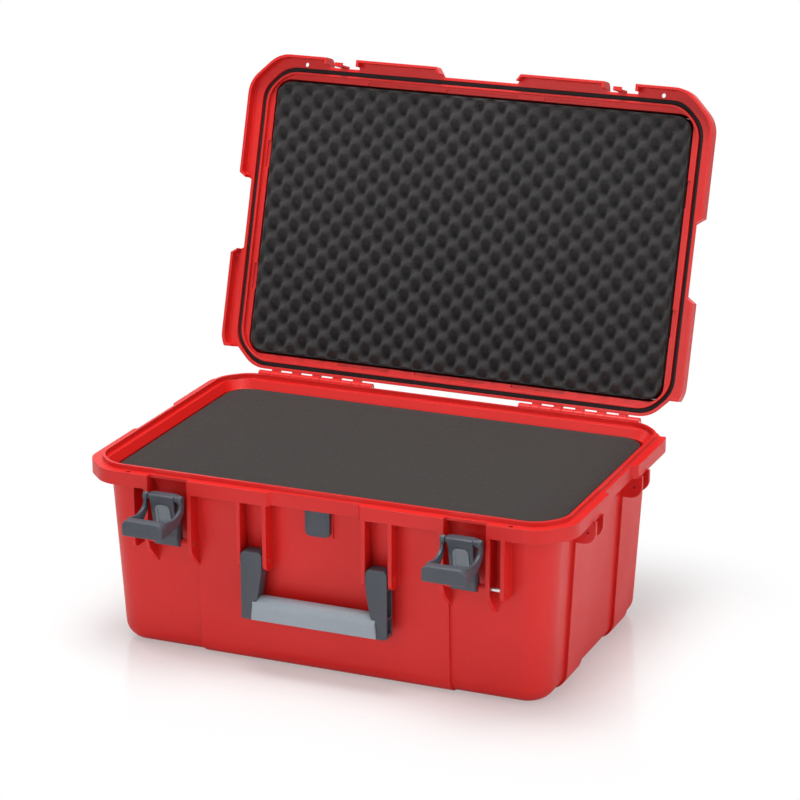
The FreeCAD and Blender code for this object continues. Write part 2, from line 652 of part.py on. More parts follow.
def base_foam():
    """Three stacked foam layers that fill the tub."""
    top = f"{PARTING} - foam_drop"
    levels = ("wall", f"{top} - 2 * foam_layer", f"{top} - foam_layer", top)
    corner = size("tub_corner_radius") - size("wall")
    for k, name in enumerate(("bottom", "middle", "top")):
        low, high = levels[k], levels[k + 1]
        halves = tuple(f"{half} - wall - foam_play - tub_taper * (1 - ({low}) / {PARTING})" for half in TUB_TOP)
        spans = [(f"-({half})", half) for half in halves]
        block = box(f"foam_{name}_block", spans[0], spans[1], (low, high))
        rounds = [(upright, corner)]
        if k == 0:
            rounds.append((flat_at("zmin"), size("tub_foot_radius") - size("wall")))
        layer = rounded(f"foam_{name}", block, *rounds)
        if name == "top":
            notch_y = (f"-({halves[1]} + 1)", f"-({halves[1]} - foam_valve_depth)")
            notch_z = (f"{VALVE_MIDDLE} - foam_valve_height / 2", f"{top} + 1")
            notch = box("foam_valve_notch", ("-foam_valve_half", "foam_valve_half"), notch_y, notch_z)
            layer = cut("foam_top_notched", layer, notch)
        node(layer, f"base_foam_{name}")


def pins():
    """Steel pins of the hinge, the latches and the handle."""
    hinge_end = f"hinge_start + {KNUCKLES - 1} * hinge_pitch + hinge_base_length"
    latch_span = (f"latch_offset - {BAY_RIB} - rib_thickness / 2", "latch_offset + support_offset + rib_thickness / 2")
    handle_span = (
        "handle_offset - handle_bay_half - rib_thickness",
        "handle_offset + handle_bay_half + rib_thickness",
    )
    for side, sign in SIDES:
        for tag, span, radius, place in (
            ("hinge_pin", ("hinge_start", hinge_end), "hinge_pin_radius", HINGE),
            ("latch_pivot_pin", latch_span, "latch_pin_radius", LATCH_PIVOT),
            ("handle_pin", handle_span, "handle_pin_radius", HANDLE_PIVOT),
        ):
            node(rod(f"{tag}_{side}", "x", mirrored(*span, sign), radius, place), f"{side}_{tag}")


def relief_valve():
    """Pressure relief valve: body through the wall, seal, nut, membrane and cover."""
    face = f"-({VALVE_FACE})"
    centre = ("0", VALVE_MIDDLE)
    seal_back = face
    flange_back = f"{face} - valve_seal"
    flange_front = f"{flange_back} - valve_flange"
    nut_front = f"-({VALVE_BACK})"
    stem_end = f"{nut_front} + valve_nut + 1"
    stem = fuse(
        "valve_stem_whole",
        rod("valve_flange_disc", "y", (flange_front, flange_back), "valve_flange_radius", centre),
        rod("valve_stem", "y", (flange_back, stem_end), "valve_stem_radius", centre),
    )
    passage = rod("valve_passage", "y", (f"{flange_front} - 1", f"{stem_end} + 1"), "valve_bore_radius", centre)
    node(cut("valve_body", stem, passage), "relief_valve_body")
    ring = rod("valve_ring", "y", (flange_back, seal_back), "valve_flange_radius", centre)
    ring_hole = rod("valve_ring_hole", "y", (f"{flange_back} - 1", f"{seal_back} + 1"), "valve_stem_radius", centre)
    node(cut("valve_seal_ring", ring, ring_hole), "relief_valve_seal")
    nut = doc.addObject("Part::Prism", "valve_nut_block")
    nut.Polygon = 6
    nut.Placement = FreeCAD.Placement(V(), TURN["y"])
    bind(nut, Circumradius="valve_nut_radius", Height="valve_nut", base_y=nut_front, base_z=VALVE_MIDDLE)
    nut_hole = rod("valve_nut_hole", "y", (f"{nut_front} - 1", f"{stem_end} + 1"), "valve_stem_radius", centre)
    node(cut("valve_nut_ring", nut, nut_hole), "relief_valve_nut")
    membrane_y = (f"{flange_front} - valve_membrane", flange_front)
    node(rod("valve_disc", "y", membrane_y, "valve_flange_radius - 3", centre), "relief_valve_membrane")

    cover_z = (f"{PARTING} - valve_top - valve_height", f"{PARTING} - valve_top")
    cover_x = ("-valve_half_width", "valve_half_width")
    cover = box("valve_cover_block", cover_x, (f"{face} - valve_cover_depth", face), cover_z)
    lower = both(flat_at("zmin"), along("y"))
    cover_round = rounded("valve_cover_round", cover, (lower, size("valve_corner")))
    inner = box(
        "valve_cover_hollow",
        tuple(f"{x} {sign} valve_cover_wall" for x, sign in zip(cover_x, "+-")),
        (f"{face} - valve_cover_depth + valve_cover_wall", f"{face} + 1"),
        (f"{cover_z[0]} + valve_cover_wall", f"{cover_z[1]} - valve_cover_wall"),
    )
    inner_round = rounded("valve_cover_inner", inner, (lower, size("valve_corner") - size("valve_cover_wall")))
    node(cut("valve_cover", cover_round, inner_round), "relief_valve_cover")


def lid_rim():
    """Lid rim: plate, skirts that close round the base rim, and their returns at each gap."""
    shrink = "lid_skirt_wall + return_gap"
    z = (f"{PARTING} - lid_skirt_drop", f"{PARTING} + lid_plate")
    under = (f"{PARTING} - lid_skirt_drop - 1", LID_FACE)
    front_y = (f"-(opening_half_width + {FAR})", "-opening_half_width")
    proud = cut(
        "lid_proud",
        plate("lid_proud_full", f"({LID_REACH})", z),
        *rim_notches("lid_notch", shrink, z, "swing_gap"),
        *latch_gaps("lid_gap_block", shrink, front_y, z),
    )
    hollow = cut(
        "lid_proud_hollow",
        plate("lid_hollow_full", "(rim_reach + lid_gap)", under),
        *rim_notches("lid_hollow_notch", "return_gap", under, "swing_gap"),
        *latch_gaps("lid_hollow_gap", "return_gap", front_y, under),
    )
    set_hollow = plate("lid_set_hollow", "(set_reach + 2 * lid_gap)", under)
    plain = plate("lid_set", "set_reach", (LID_FACE, f"{PARTING} + lid_plate"))
    return fuse("lid_rim", plain, cut("lid_skirts", proud, fuse("lid_hollow", hollow, set_hollow)))


def strikes():
    """Tongues with a ledge that the latch noses hook over when the lid is shut."""
    shapes = []
    back = f"{SET_FRONT} - strike_gap"
    front = f"{back} - strike_thickness"
    low = f"{PARTING} - strike_drop"
    for side, sign in SIDES:
        x = mirrored("latch_offset - strike_half", "latch_offset + strike_half", sign)
        shapes.append(box(f"strike_{side}", x, (front, back), (low, f"{PARTING} + lid_plate")))
        root_y = (front, f"{SET_FRONT} + 1")
        shapes.append(box(f"strike_root_{side}", x, root_y, (LID_FACE, f"{PARTING} + lid_plate")))
        ledge_y = (f"{front} - strike_reach", back)
        shapes.append(box(f"strike_ledge_{side}", x, ledge_y, (low, f"{low} + strike_ledge")))
    return shapes


def gussets():
    """Upright webs on the lid at both ends of each latch gap."""
    shapes = []
    inner = "bay_half - lid_skirt_wall - return_gap"
    y = (f"-(opening_half_width + {LID_REACH})", f"-({TUB_TOP[1]} - wall / 2)")
    z = (LID_FACE, f"{PARTING} + gusset_height")
    top_front = both(flat_at("ymin"), flat_at("zmax"))
    for side, sign in SIDES:
        for end, edge in (("near", f"latch_offset - ({inner}) - lid_skirt_wall"), ("far", f"latch_offset + ({inner})")):
            web = box(f"gusset_{side}_{end}", mirrored(edge, f"{edge} + lid_skirt_wall", sign), y, z)
            shapes.append(rounded(f"gusset_{side}_{end}_round", web, (top_front, size("gusset_height") * 0.8)))
    return shapes


def stop_heels():
    """Heels on the lid knuckles that meet the base skirt when the lid is fully open."""
    shapes = []
    length = size("hinge_pitch") - size("hinge_base_length") - 2 * size("hinge_side_gap")
    near = size("hinge_reach") - size("set_reach") - size("stop_gap")
    for side, sign in SIDES:
        for k in range(KNUCKLES - 1):
            heel = doc.addObject("Part::Box", f"stop_heel_{side}_{k}")
            bind(heel, Length="hinge_pitch - hinge_base_length - 2 * hinge_side_gap", Height="stop_drop")
            bind(heel, Width="hinge_reach - set_reach - stop_gap - hinge_pin_radius - 1")
            start = size("hinge_start") + k * size("hinge_pitch") + size("hinge_base_length") + size("hinge_side_gap")
            corner = hinge_point + V(start if sign > 0 else -start - length, -near, -size("stop_drop"))
            heel.Placement = LID_OPEN.inverse().multiply(FreeCAD.Placement(corner, FreeCAD.Rotation()))
            shapes.append(heel)
    return shapes


def lid():
    """Lid shell with its seal and foam, drawn closed and turned open."""
    top = f"{PARTING} + lid_depth"
    corner = size("lid_corner_radius")
    lid_top = tuple(f"{half} - lid_taper" for half in TUB_TOP)
    crown_block = frustum("lid_crown_block", lid_top, TUB_TOP, (LID_FACE, top))
    crown = rounded("lid_crown", crown_block, (upright, corner), (flat_at("zmax"), size("lid_top_radius")))
    seal_z = (LID_FACE, f"{PARTING} + groove_depth + seal_roof")
    seal_block = plate("lid_seal_block", "(lip_thickness + seal_margin)", seal_z)
    web_z = (HINGE[1], f"{HINGE[1]} + hinge_web")
    lid_first = "hinge_base_length + hinge_side_gap"
    lid_length = "hinge_pitch - hinge_base_length - 2 * hinge_side_gap"
    outer = [crown, seal_block, lid_rim(), *strikes(), *gussets(), *stop_heels()]
    outer += knuckles("lid_knuckle", lid_first, lid_length, KNUCKLES - 1, web_z)
    whole = fuse("lid_outer", *outer)

    inner_top = tuple(f"{half} - wall" for half in lid_top)
    inner_foot = tuple(f"{half} - wall" for half in TUB_TOP)
    hollow_block = frustum("lid_hollow_block", inner_top, inner_foot, (PARTING, f"{top} - lid_top_wall"))
    hollow = rounded("lid_hollow_round", hollow_block, (upright, corner - size("wall")))
    mouth = plate("lid_mouth", "(-(groove_side + seal_wall))", (f"{PARTING} - 1", f"{PARTING} + groove_depth - 1"))
    groove_z = (f"{PARTING} - 1", f"{PARTING} + groove_depth")
    groove = cut(
        "seal_groove",
        plate("seal_groove_outer", "(lip_thickness + groove_side)", groove_z),
        plate("seal_groove_inner", "(-groove_side)", groove_z),
    )
    panel_half = tuple(f"{half} - lid_panel_margin" for half in lid_top)
    panel_spans = [(f"-({half})", half) for half in panel_half]
    panel_block = box("lid_panel_block", panel_spans[0], panel_spans[1], (f"{top} - lid_panel_depth", f"{top} + 1"))
    panel = rounded("lid_panel", panel_block, (upright, size("lid_top_radius")))
    slot_z = (f"{PARTING} + groove_depth - 3", f"{PARTING} + groove_depth + slot_depth")
    reach_x = (f"-({TUB_TOP[0]})", TUB_TOP[0])
    reach_y = (f"-({TUB_TOP[1]})", TUB_TOP[1])
    slots = [box("lid_slot_middle", ("-slot_middle_half", "slot_middle_half"), reach_y, slot_z)]
    for side, sign in SIDES:
        slots.append(box(f"lid_slot_{side}", mirrored("slot_near", "slot_far", sign), reach_y, slot_z))
        slots.append(box(f"lid_slot_end_{side}", reach_x, mirrored("slot_end_near", "slot_end_far", sign), slot_z))
    bores = padlock_bores("lid_padlock") + hinge_bores("lid_hinge_bore")
    node(cut("lid_shell", whole, hollow, mouth, groove, panel, *slots, *bores), "lid_shell", LID_OPEN)

    seal_z = (f"{PARTING} + groove_depth - seal_thickness", f"{PARTING} + groove_depth")
    seal = cut(
        "seal_ring",
        plate("seal_outer", "(lip_thickness + groove_side - seal_play)", seal_z),
        plate("seal_inner", "(seal_play - groove_side)", seal_z),
    )
    node(seal, "lid_gasket", LID_OPEN)
    lid_foam()


def lid_foam():
    """Egg-crate foam pad: staggered bumps as a product of two waves that flatten at the border."""
    half_x = size("opening_half_length") - size("tub_inset") - size("lid_taper") - size("wall") - size("foam_play")
    half_y = size("opening_half_width") - size("tub_inset") - size("lid_taper") - size("wall") - size("foam_play")
    back = size("parting_height") + size("lid_depth") - size("lid_top_wall")
    middle = size("parting_height") - size("egg_peak") + size("egg_rise")
    wave = math.tau / size("egg_period")
    samples = 7

    def ease(distance):
        share = min(max(distance / size("egg_border"), 0), 1)
        return share * share * (3 - 2 * share)

    def height(x, y):
        fade = ease(half_x - abs(x)) * ease(half_y - abs(y))
        return middle - fade * size("egg_rise") * math.cos(wave * x) * math.cos(wave * y)

    def stations(half):
        count = 2 * round(half * samples / size("egg_period"))
        return [half * (2 * k / count - 1) for k in range(count + 1)]

    margin = 3
    columns = stations(half_x + margin)
    rows = stations(half_y + margin)
    surface = Part.BSplineSurface()
    surface.interpolate([[V(x, y, height(x, y)) for y in rows] for x in columns])
    reach = 2 * size("lid_depth")
    block = surface.toShape().extrude(V(0, 0, reach))
    outline = Part.makeBox(2 * half_x, 2 * half_y, reach, V(-half_x, -half_y, back - reach))
    outline = outline.makeFillet(size("lid_foam_radius"), [e for e in outline.Edges if upright(e, None)])
    pad = doc.addObject("Part::Feature", "lid_foam")
    pad.Shape = block.common(outline).Solids[0]
    node(pad, "lid_foam", LID_OPEN)


def handle():
    """Carry handle: frame with two arms and a cross bar, and the grip round the bar. Drawn about its pivot."""
    place = FreeCAD.Placement(
        V(0, -(size("opening_half_width") + size("rim_reach") - size("handle_pivot_depth")),
          size("parting_height") - size("handle_pivot_drop")),
        FreeCAD.Rotation(),
    )
    depth = ("-handle_arm_depth / 2", "handle_arm_depth / 2")
    arm_outer = "handle_offset + handle_arm_half"
    arm_top_inner = "handle_offset - handle_arm_half"
    arm_foot_inner = f"{arm_outer} - handle_arm_foot"
    shapes = []
    hollows = []
    for side, sign in SIDES:
        outline = (
            (f"{sign} * ({arm_outer})", "-handle_drop"),
            (f"{sign} * ({arm_outer})", "handle_crown"),
            (f"{sign} * ({arm_top_inner})", "handle_crown"),
            (f"{sign} * ({arm_top_inner})", "-handle_crown"),
            (f"{sign} * ({arm_foot_inner})", "-handle_drop + grip_height"),
            (f"{sign} * ({arm_foot_inner})", "-handle_drop"),
        )
        arm = prism(f"handle_arm_{side}", "xz", outline, depth)
        crown = both(flat_at("zmax"), along("x"))
        foot = both(flat_at("zmin"), along("x"))
        round_arm = size("handle_arm_depth") / 2
        shapes.append(rounded(f"handle_arm_{side}_round", arm, (crown, round_arm - 0.5), (foot, round_arm / 2)))
        hollow_x = mirrored(f"{arm_outer} - handle_recess", f"{arm_outer} + 1", sign)
        hollow_y = tuple(f"{y} {way} handle_recess_wall" for y, way in zip(depth, "+-"))
        hollow_z = ("-handle_drop + 2 * handle_recess_wall", "-handle_crown - handle_recess_wall")
        hollows.append(box(f"handle_hollow_{side}", hollow_x, hollow_y, hollow_z))
        span = mirrored(f"{arm_top_inner} - 1", f"{arm_outer} + 1", sign)
        hollows.append(rod(f"handle_bore_{side}", "x", span, "handle_pin_radius + pin_clearance", ("0", "0")))
    core_z = ("-handle_drop + (grip_height - handle_core_height) / 2", "-handle_drop + (grip_height + handle_core_height) / 2")
    core_y = ("-handle_core_depth / 2", "handle_core_depth / 2")
    shapes.append(box("handle_core", (f"-({arm_foot_inner} + 1)", f"{arm_foot_inner} + 1"), core_y, core_z))
    node(cut("handle_frame", fuse("handle_whole", *shapes), *hollows), "handle_frame", place)

    grip_x = (f"-({arm_foot_inner})", arm_foot_inner)
    grip_y = ("-grip_depth / 2", "grip_depth / 2")
    grip_z = ("-handle_drop", "-handle_drop + grip_height")
    grip_block = box("grip_block", grip_x, grip_y, grip_z)
    sleeve = rounded("grip_sleeve", grip_block, (along("x"), size("grip_round")))
    opening = box("grip_opening", tuple(f"1.1 * ({x})" for x in grip_x), core_y, core_z)
    node(cut("handle_grip", sleeve, opening), "handle_grip", place)


def latch(side, sign):
    """One latch: claw on the pivot pin, lever on the claw, lock button and its spring. Drawn about the pivot."""
    tilt = FreeCAD.Rotation(X_AXIS, size("claw_rest_tilt"))
    pivot = V(
        sign * size("latch_offset"),
        -(size("opening_half_width") + size("rim_reach") - size("latch_pivot_depth")),
        size("parting_height") - size("latch_pivot_drop"),
    )
    place = FreeCAD.Placement(pivot, tilt)
    width = ("-claw_half_width", "claw_half_width")
    front = "-claw_front"
    back = "claw_back"
    top = "claw_length + claw_crown"
    nose_low = f"{top} - claw_nose_height"
    lever_place = ("-lever_set", "claw_length")
    profile = (
        ("-claw_block_depth", "0"),
        ("0", "-claw_hub_radius"),
        (back, "0"),
        (back, f"{nose_low} - claw_relief_height"),
        (f"{back} - claw_relief_depth", f"{nose_low} - claw_relief_height"),
        (f"{back} - claw_relief_depth", nose_low),
        (f"{back} + claw_nose_reach", nose_low),
        (f"{back} + claw_nose_reach", top),
        (front, top),
        (front, "claw_block_top + claw_block_depth / 2"),
        ("-claw_block_depth", "claw_block_top"),
    )
    plate_body = prism(f"{side}_claw_plate", "yz", profile, width)
    hub = rod(f"{side}_claw_hub", "x", width, "claw_hub_radius", ("0", "0"))
    boss_half = "lever_arm_inner - button_clearance"
    boss = rod(f"{side}_claw_boss", "x", (f"-({boss_half})", boss_half), "lever_hub_radius - 0.5", lever_place)
    window_x = ("-(button_half_width + button_clearance)", "button_half_width + button_clearance")
    window_z = ("button_low - button_clearance", "button_low + button_height + button_clearance")
    floor = f"{back} - button_floor"
    window = box(f"{side}_lock_window", window_x, (f"{front} - 1", floor), window_z)
    window_round = rounded(f"{side}_lock_window_round", window, (both(flat_at("zmax"), along("y")), 4))
    bore_span = ("-(claw_half_width + 1)", "claw_half_width + 1")
    pivot_bore = rod(f"{side}_claw_bore", "x", bore_span, "latch_pin_radius + pin_clearance", ("0", "0"))
    pin_span = ("-lever_bar_half", "lever_bar_half")
    lever_bore = rod(f"{side}_claw_lever_bore", "x", pin_span, "lever_pin_radius + pin_clearance", lever_place)
    claw = cut(f"{side}_claw", fuse(f"{side}_claw_whole", plate_body, hub, boss), window_round, pivot_bore, lever_bore)
    node(claw, f"{side}_latch_claw", place)
    lever_pin = rod(
        f"{side}_lever_pin", "x", ("-lever_arm_outer", "lever_arm_outer"), "lever_pin_radius", ("0", "0")
    )
    lever_point = place.multVec(V(0, -size("lever_set"), size("claw_length")))
    lever_home = FreeCAD.Placement(lever_point, FreeCAD.Rotation())
    pin_home = FreeCAD.Placement(lever_point - V(size("lever_arm_outer"), 0, 0), TURN["x"])
    for axis in "xyz":
        lever_pin.setExpression(f"Placement.Base.{axis}", None)
    node(lever_pin, f"{side}_lever_pin", pin_home)

    button_y = (f"{front} - button_stand", f"{front} - button_stand + button_thickness")
    button_z = ("button_low", "button_low + button_height")
    key = box(f"{side}_button_block", ("-button_half_width", "button_half_width"), button_y, button_z)
    key_round = rounded(f"{side}_button", key, (both(flat_at("zmax"), along("y")), 4))
    node(key_round, f"{side}_lock_button", place)
    spring_middle = "button_low + button_height / 2"
    rest = button_y[1]
    leaf = (
        (rest, f"{spring_middle} - spring_strip"),
        (rest, f"{spring_middle} + spring_strip"),
        (f"{floor} - spring_strip", f"{spring_middle} + spring_half_length"),
        (floor, f"{spring_middle} + spring_half_length"),
        (f"{rest} + spring_strip", f"{spring_middle}"),
        (floor, f"{spring_middle} - spring_half_length"),
        (f"{floor} - spring_strip", f"{spring_middle} - spring_half_length"),
    )
    strip = prism(f"{side}_spring", "yz", leaf, ("-spring_half_width", "spring_half_width"))
    node(strip, f"{side}_lock_spring", place)

    bar_back = "-lever_bar_reach + lever_bar_depth"
    bar_low = "-lever_bar_top - lever_bar_height"
    elbow = "lever_hub_radius"
    arm_outline = (
        (elbow, "0"),
        (f"{elbow} - 1", "-lever_bar_top"),
        (f"-{elbow}", f"{bar_low} + 5"),
        (f"{bar_back} - 1", f"{bar_low} + 1"),
        (f"{bar_back} - 1", "-lever_bar_top - 1"),
        (f"-3 * {elbow}", "-lever_bar_top - 3"),
        (f"-{elbow}", "-7"),
        (f"-{elbow}", "0"),
    )
    shapes = []
    for end, way in (("near", -1), ("far", 1)):
        span = mirrored("lever_arm_inner", "lever_arm_outer", way)
        shapes.append(prism(f"{side}_lever_arm_{end}", "yz", arm_outline, span))
        shapes.append(rod(f"{side}_lever_hub_{end}", "x", span, "lever_hub_radius", ("0", "0")))
    bar = box(
        f"{side}_lever_bar",
        ("-lever_bar_half", "lever_bar_half"),
        ("-lever_bar_reach", bar_back),
        (bar_low, "-lever_bar_top"),
    )
    shapes.append(rounded(f"{side}_lever_bar_round", bar, (along("x"), size("lever_bar_round"))))
    bore = rod(f"{side}_lever_bore", "x", pin_span, "lever_pin_radius + pin_clearance", ("0", "0"))
    node(cut(f"{side}_lever", fuse(f"{side}_lever_whole", *shapes), bore), f"{side}_latch_lever", lever_home)


def write_parts():
    """Check every object and write one file for each sub-part."""
    doc.recompute()
    failed = [o.Name for o in doc.Objects if {"Invalid", "Error"} & set(o.State)]
    if failed:
        raise RuntimeError(f"objects that failed: {failed}")
    for item in nodes:
        if item.Shape.isNull() or not item.Shape.isValid():
            raise RuntimeError(f"sub-part {item.Label} has no valid shape")
    os.makedirs("parts", exist_ok=True)
    for item in nodes:
        item.Shape.exportStep(f"parts/{item.Label}.step")
        print(f"{item.Label}: {len(item.Shape.Solids)} solid, {item.Shape.Volume / 1000:.1f} cm3")


base_shell()
base_foam()
pins()
relief_valve()
lid()
handle()
for latch_side, latch_sign in SIDES:
    latch(latch_side, latch_sign)
write_parts()
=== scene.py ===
"""Dresses the red protective case: moulded finishes, foam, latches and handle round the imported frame."""

import json
import logging
import math
from collections.abc import Callable
from dataclasses import dataclass
from enum import Enum

import bmesh
import bpy
from mathutils import Matrix, Vector


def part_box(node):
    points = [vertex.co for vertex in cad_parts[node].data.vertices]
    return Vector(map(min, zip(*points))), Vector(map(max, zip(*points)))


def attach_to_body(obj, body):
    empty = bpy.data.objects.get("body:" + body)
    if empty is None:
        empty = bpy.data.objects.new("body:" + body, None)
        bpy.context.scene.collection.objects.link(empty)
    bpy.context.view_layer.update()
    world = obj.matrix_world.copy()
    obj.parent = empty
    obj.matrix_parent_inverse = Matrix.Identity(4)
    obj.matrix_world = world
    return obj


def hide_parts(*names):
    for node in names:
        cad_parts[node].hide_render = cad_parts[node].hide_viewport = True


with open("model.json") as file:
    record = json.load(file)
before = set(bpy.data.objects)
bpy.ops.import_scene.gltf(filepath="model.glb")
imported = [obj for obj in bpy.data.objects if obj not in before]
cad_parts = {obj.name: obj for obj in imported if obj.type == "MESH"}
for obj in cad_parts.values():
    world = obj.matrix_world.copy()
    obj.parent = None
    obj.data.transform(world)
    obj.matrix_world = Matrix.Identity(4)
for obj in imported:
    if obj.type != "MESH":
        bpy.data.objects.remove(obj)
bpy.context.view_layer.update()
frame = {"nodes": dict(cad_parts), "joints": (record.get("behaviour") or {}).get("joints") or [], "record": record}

LOG = logging.getLogger("protective_case")
MM = 0.001
NEAR = 1e-3  # coordinates in millimetres that differ by less are taken as equal
BORE_SIDES = 24

Colour = tuple[float, float, float]
Material = bpy.types.Material
Mesh = bpy.types.Object
Socket = bpy.types.NodeSocket
Shape = bmesh.types.BMesh
Edges = list[bmesh.types.BMEdge]
Span = tuple[float, float]
Outline = list[Span]
Place = tuple[float, float, float]


def display(red: float, green: float, blue: float) -> Colour:
    """Turn display values into a scene colour.

    Args:
        red: Red as shown on a screen, 0 to 255.
        green: Green as shown on a screen, 0 to 255.
        blue: Blue as shown on a screen, 0 to 255.

    Returns:
        The same colour in linear light.
    """

    def channel(value: float) -> float:
        """Linear light of one display value."""
        share = value / 255.0
        return share / 12.92 if share <= 0.04045 else ((share + 0.055) / 1.055) ** 2.4

    return channel(red), channel(green), channel(blue)


class Side(Enum):
    """Left or right half of the case, with its sign along X."""

    LEFT = -1
    RIGHT = 1

    @property
    def label(self) -> str:
        """Word used in the names of nodes and bodies."""
        return self.name.lower()


class Combine(Enum):
    """Ways to combine two closed shapes."""

    JOIN = "UNION"
    CUT = "DIFFERENCE"


class Tree:
    """Short way to place and link shader nodes in one node tree."""

    def __init__(self, tree: bpy.types.NodeTree) -> None:
        """Keep the tree that nodes are placed in."""
        self.tree = tree

    def add(self, kind: str, **values: object) -> bpy.types.Node:
        """Place a node.

        Args:
            kind: Node type name.
            **values: Attributes of the node to set.

        Returns:
            The new node.
        """
        node = self.tree.nodes.new(kind)
        for name, value in values.items():
            setattr(node, name, value)
        return node

    def feed(self, socket: Socket, value: object) -> None:
        """Link a socket to another one, or set its plain value."""
        if isinstance(value, Socket):
            self.tree.links.new(value, socket)
        elif isinstance(value, tuple) and len(value) == 3 and socket.type == "RGBA":
            socket.default_value = (*value, 1.0)
        else:
            socket.default_value = value

    def sum(self, operation: str, first: object, second: object = 0.0, clamp: bool = False) -> Socket:
        """Place a Math node.

        Args:
            operation: Math operation name.
            first: First number or socket.
            second: Second number or socket.
            clamp: Keep the result from 0 to 1.

        Returns:
            The result's socket.
        """
        node = self.add("ShaderNodeMath", operation=operation, use_clamp=clamp)
        self.feed(node.inputs[0], first)
        self.feed(node.inputs[1], second)
        return node.outputs[0]

    def mix(self, share: object, first: object, second: object, blend: str = "MIX") -> Socket:
        """Mix two colours.

        Args:
            share: Share of the second colour.
            first: First colour or socket.
            second: Second colour or socket.
            blend: Blend mode name.

        Returns:
            The mixed colour's socket.
        """
        node = self.add("ShaderNodeMix", data_type="RGBA", blend_type=blend)
        self.feed(node.inputs[0], share)
        self.feed(node.inputs[6], first)
        self.feed(node.inputs[7], second)
        return node.outputs[2]

    def noise(self, vector: Socket, scale: object, detail: float, rough: float = 0.5) -> Socket:
        """Value of a noise texture at a vector."""
        node = self.add("ShaderNodeTexNoise")
        self.feed(node.inputs["Vector"], vector)
        self.feed(node.inputs["Scale"], scale)
        node.inputs["Detail"].default_value = detail
        node.inputs["Roughness"].default_value = rough
        return node.outputs["Fac"]

    def cells(self, vector: Socket, scale: object, feature: str = "F1") -> Socket:
        """Distance output of a cell texture at a vector."""
        node = self.add("ShaderNodeTexVoronoi", feature=feature)
        self.feed(node.inputs["Vector"], vector)
        self.feed(node.inputs["Scale"], scale)
        return node.outputs["Distance"]

    def ramp(self, value: Socket, low: float, high: float) -> Socket:
        """Stretch a value so that low becomes 0 and high becomes 1."""
        node = self.add("ShaderNodeMapRange", interpolation_type="SMOOTHSTEP")
        self.feed(node.inputs["Value"], value)
        node.inputs["From Min"].default_value = low
        node.inputs["From Max"].default_value = high
        return node.outputs["Result"]


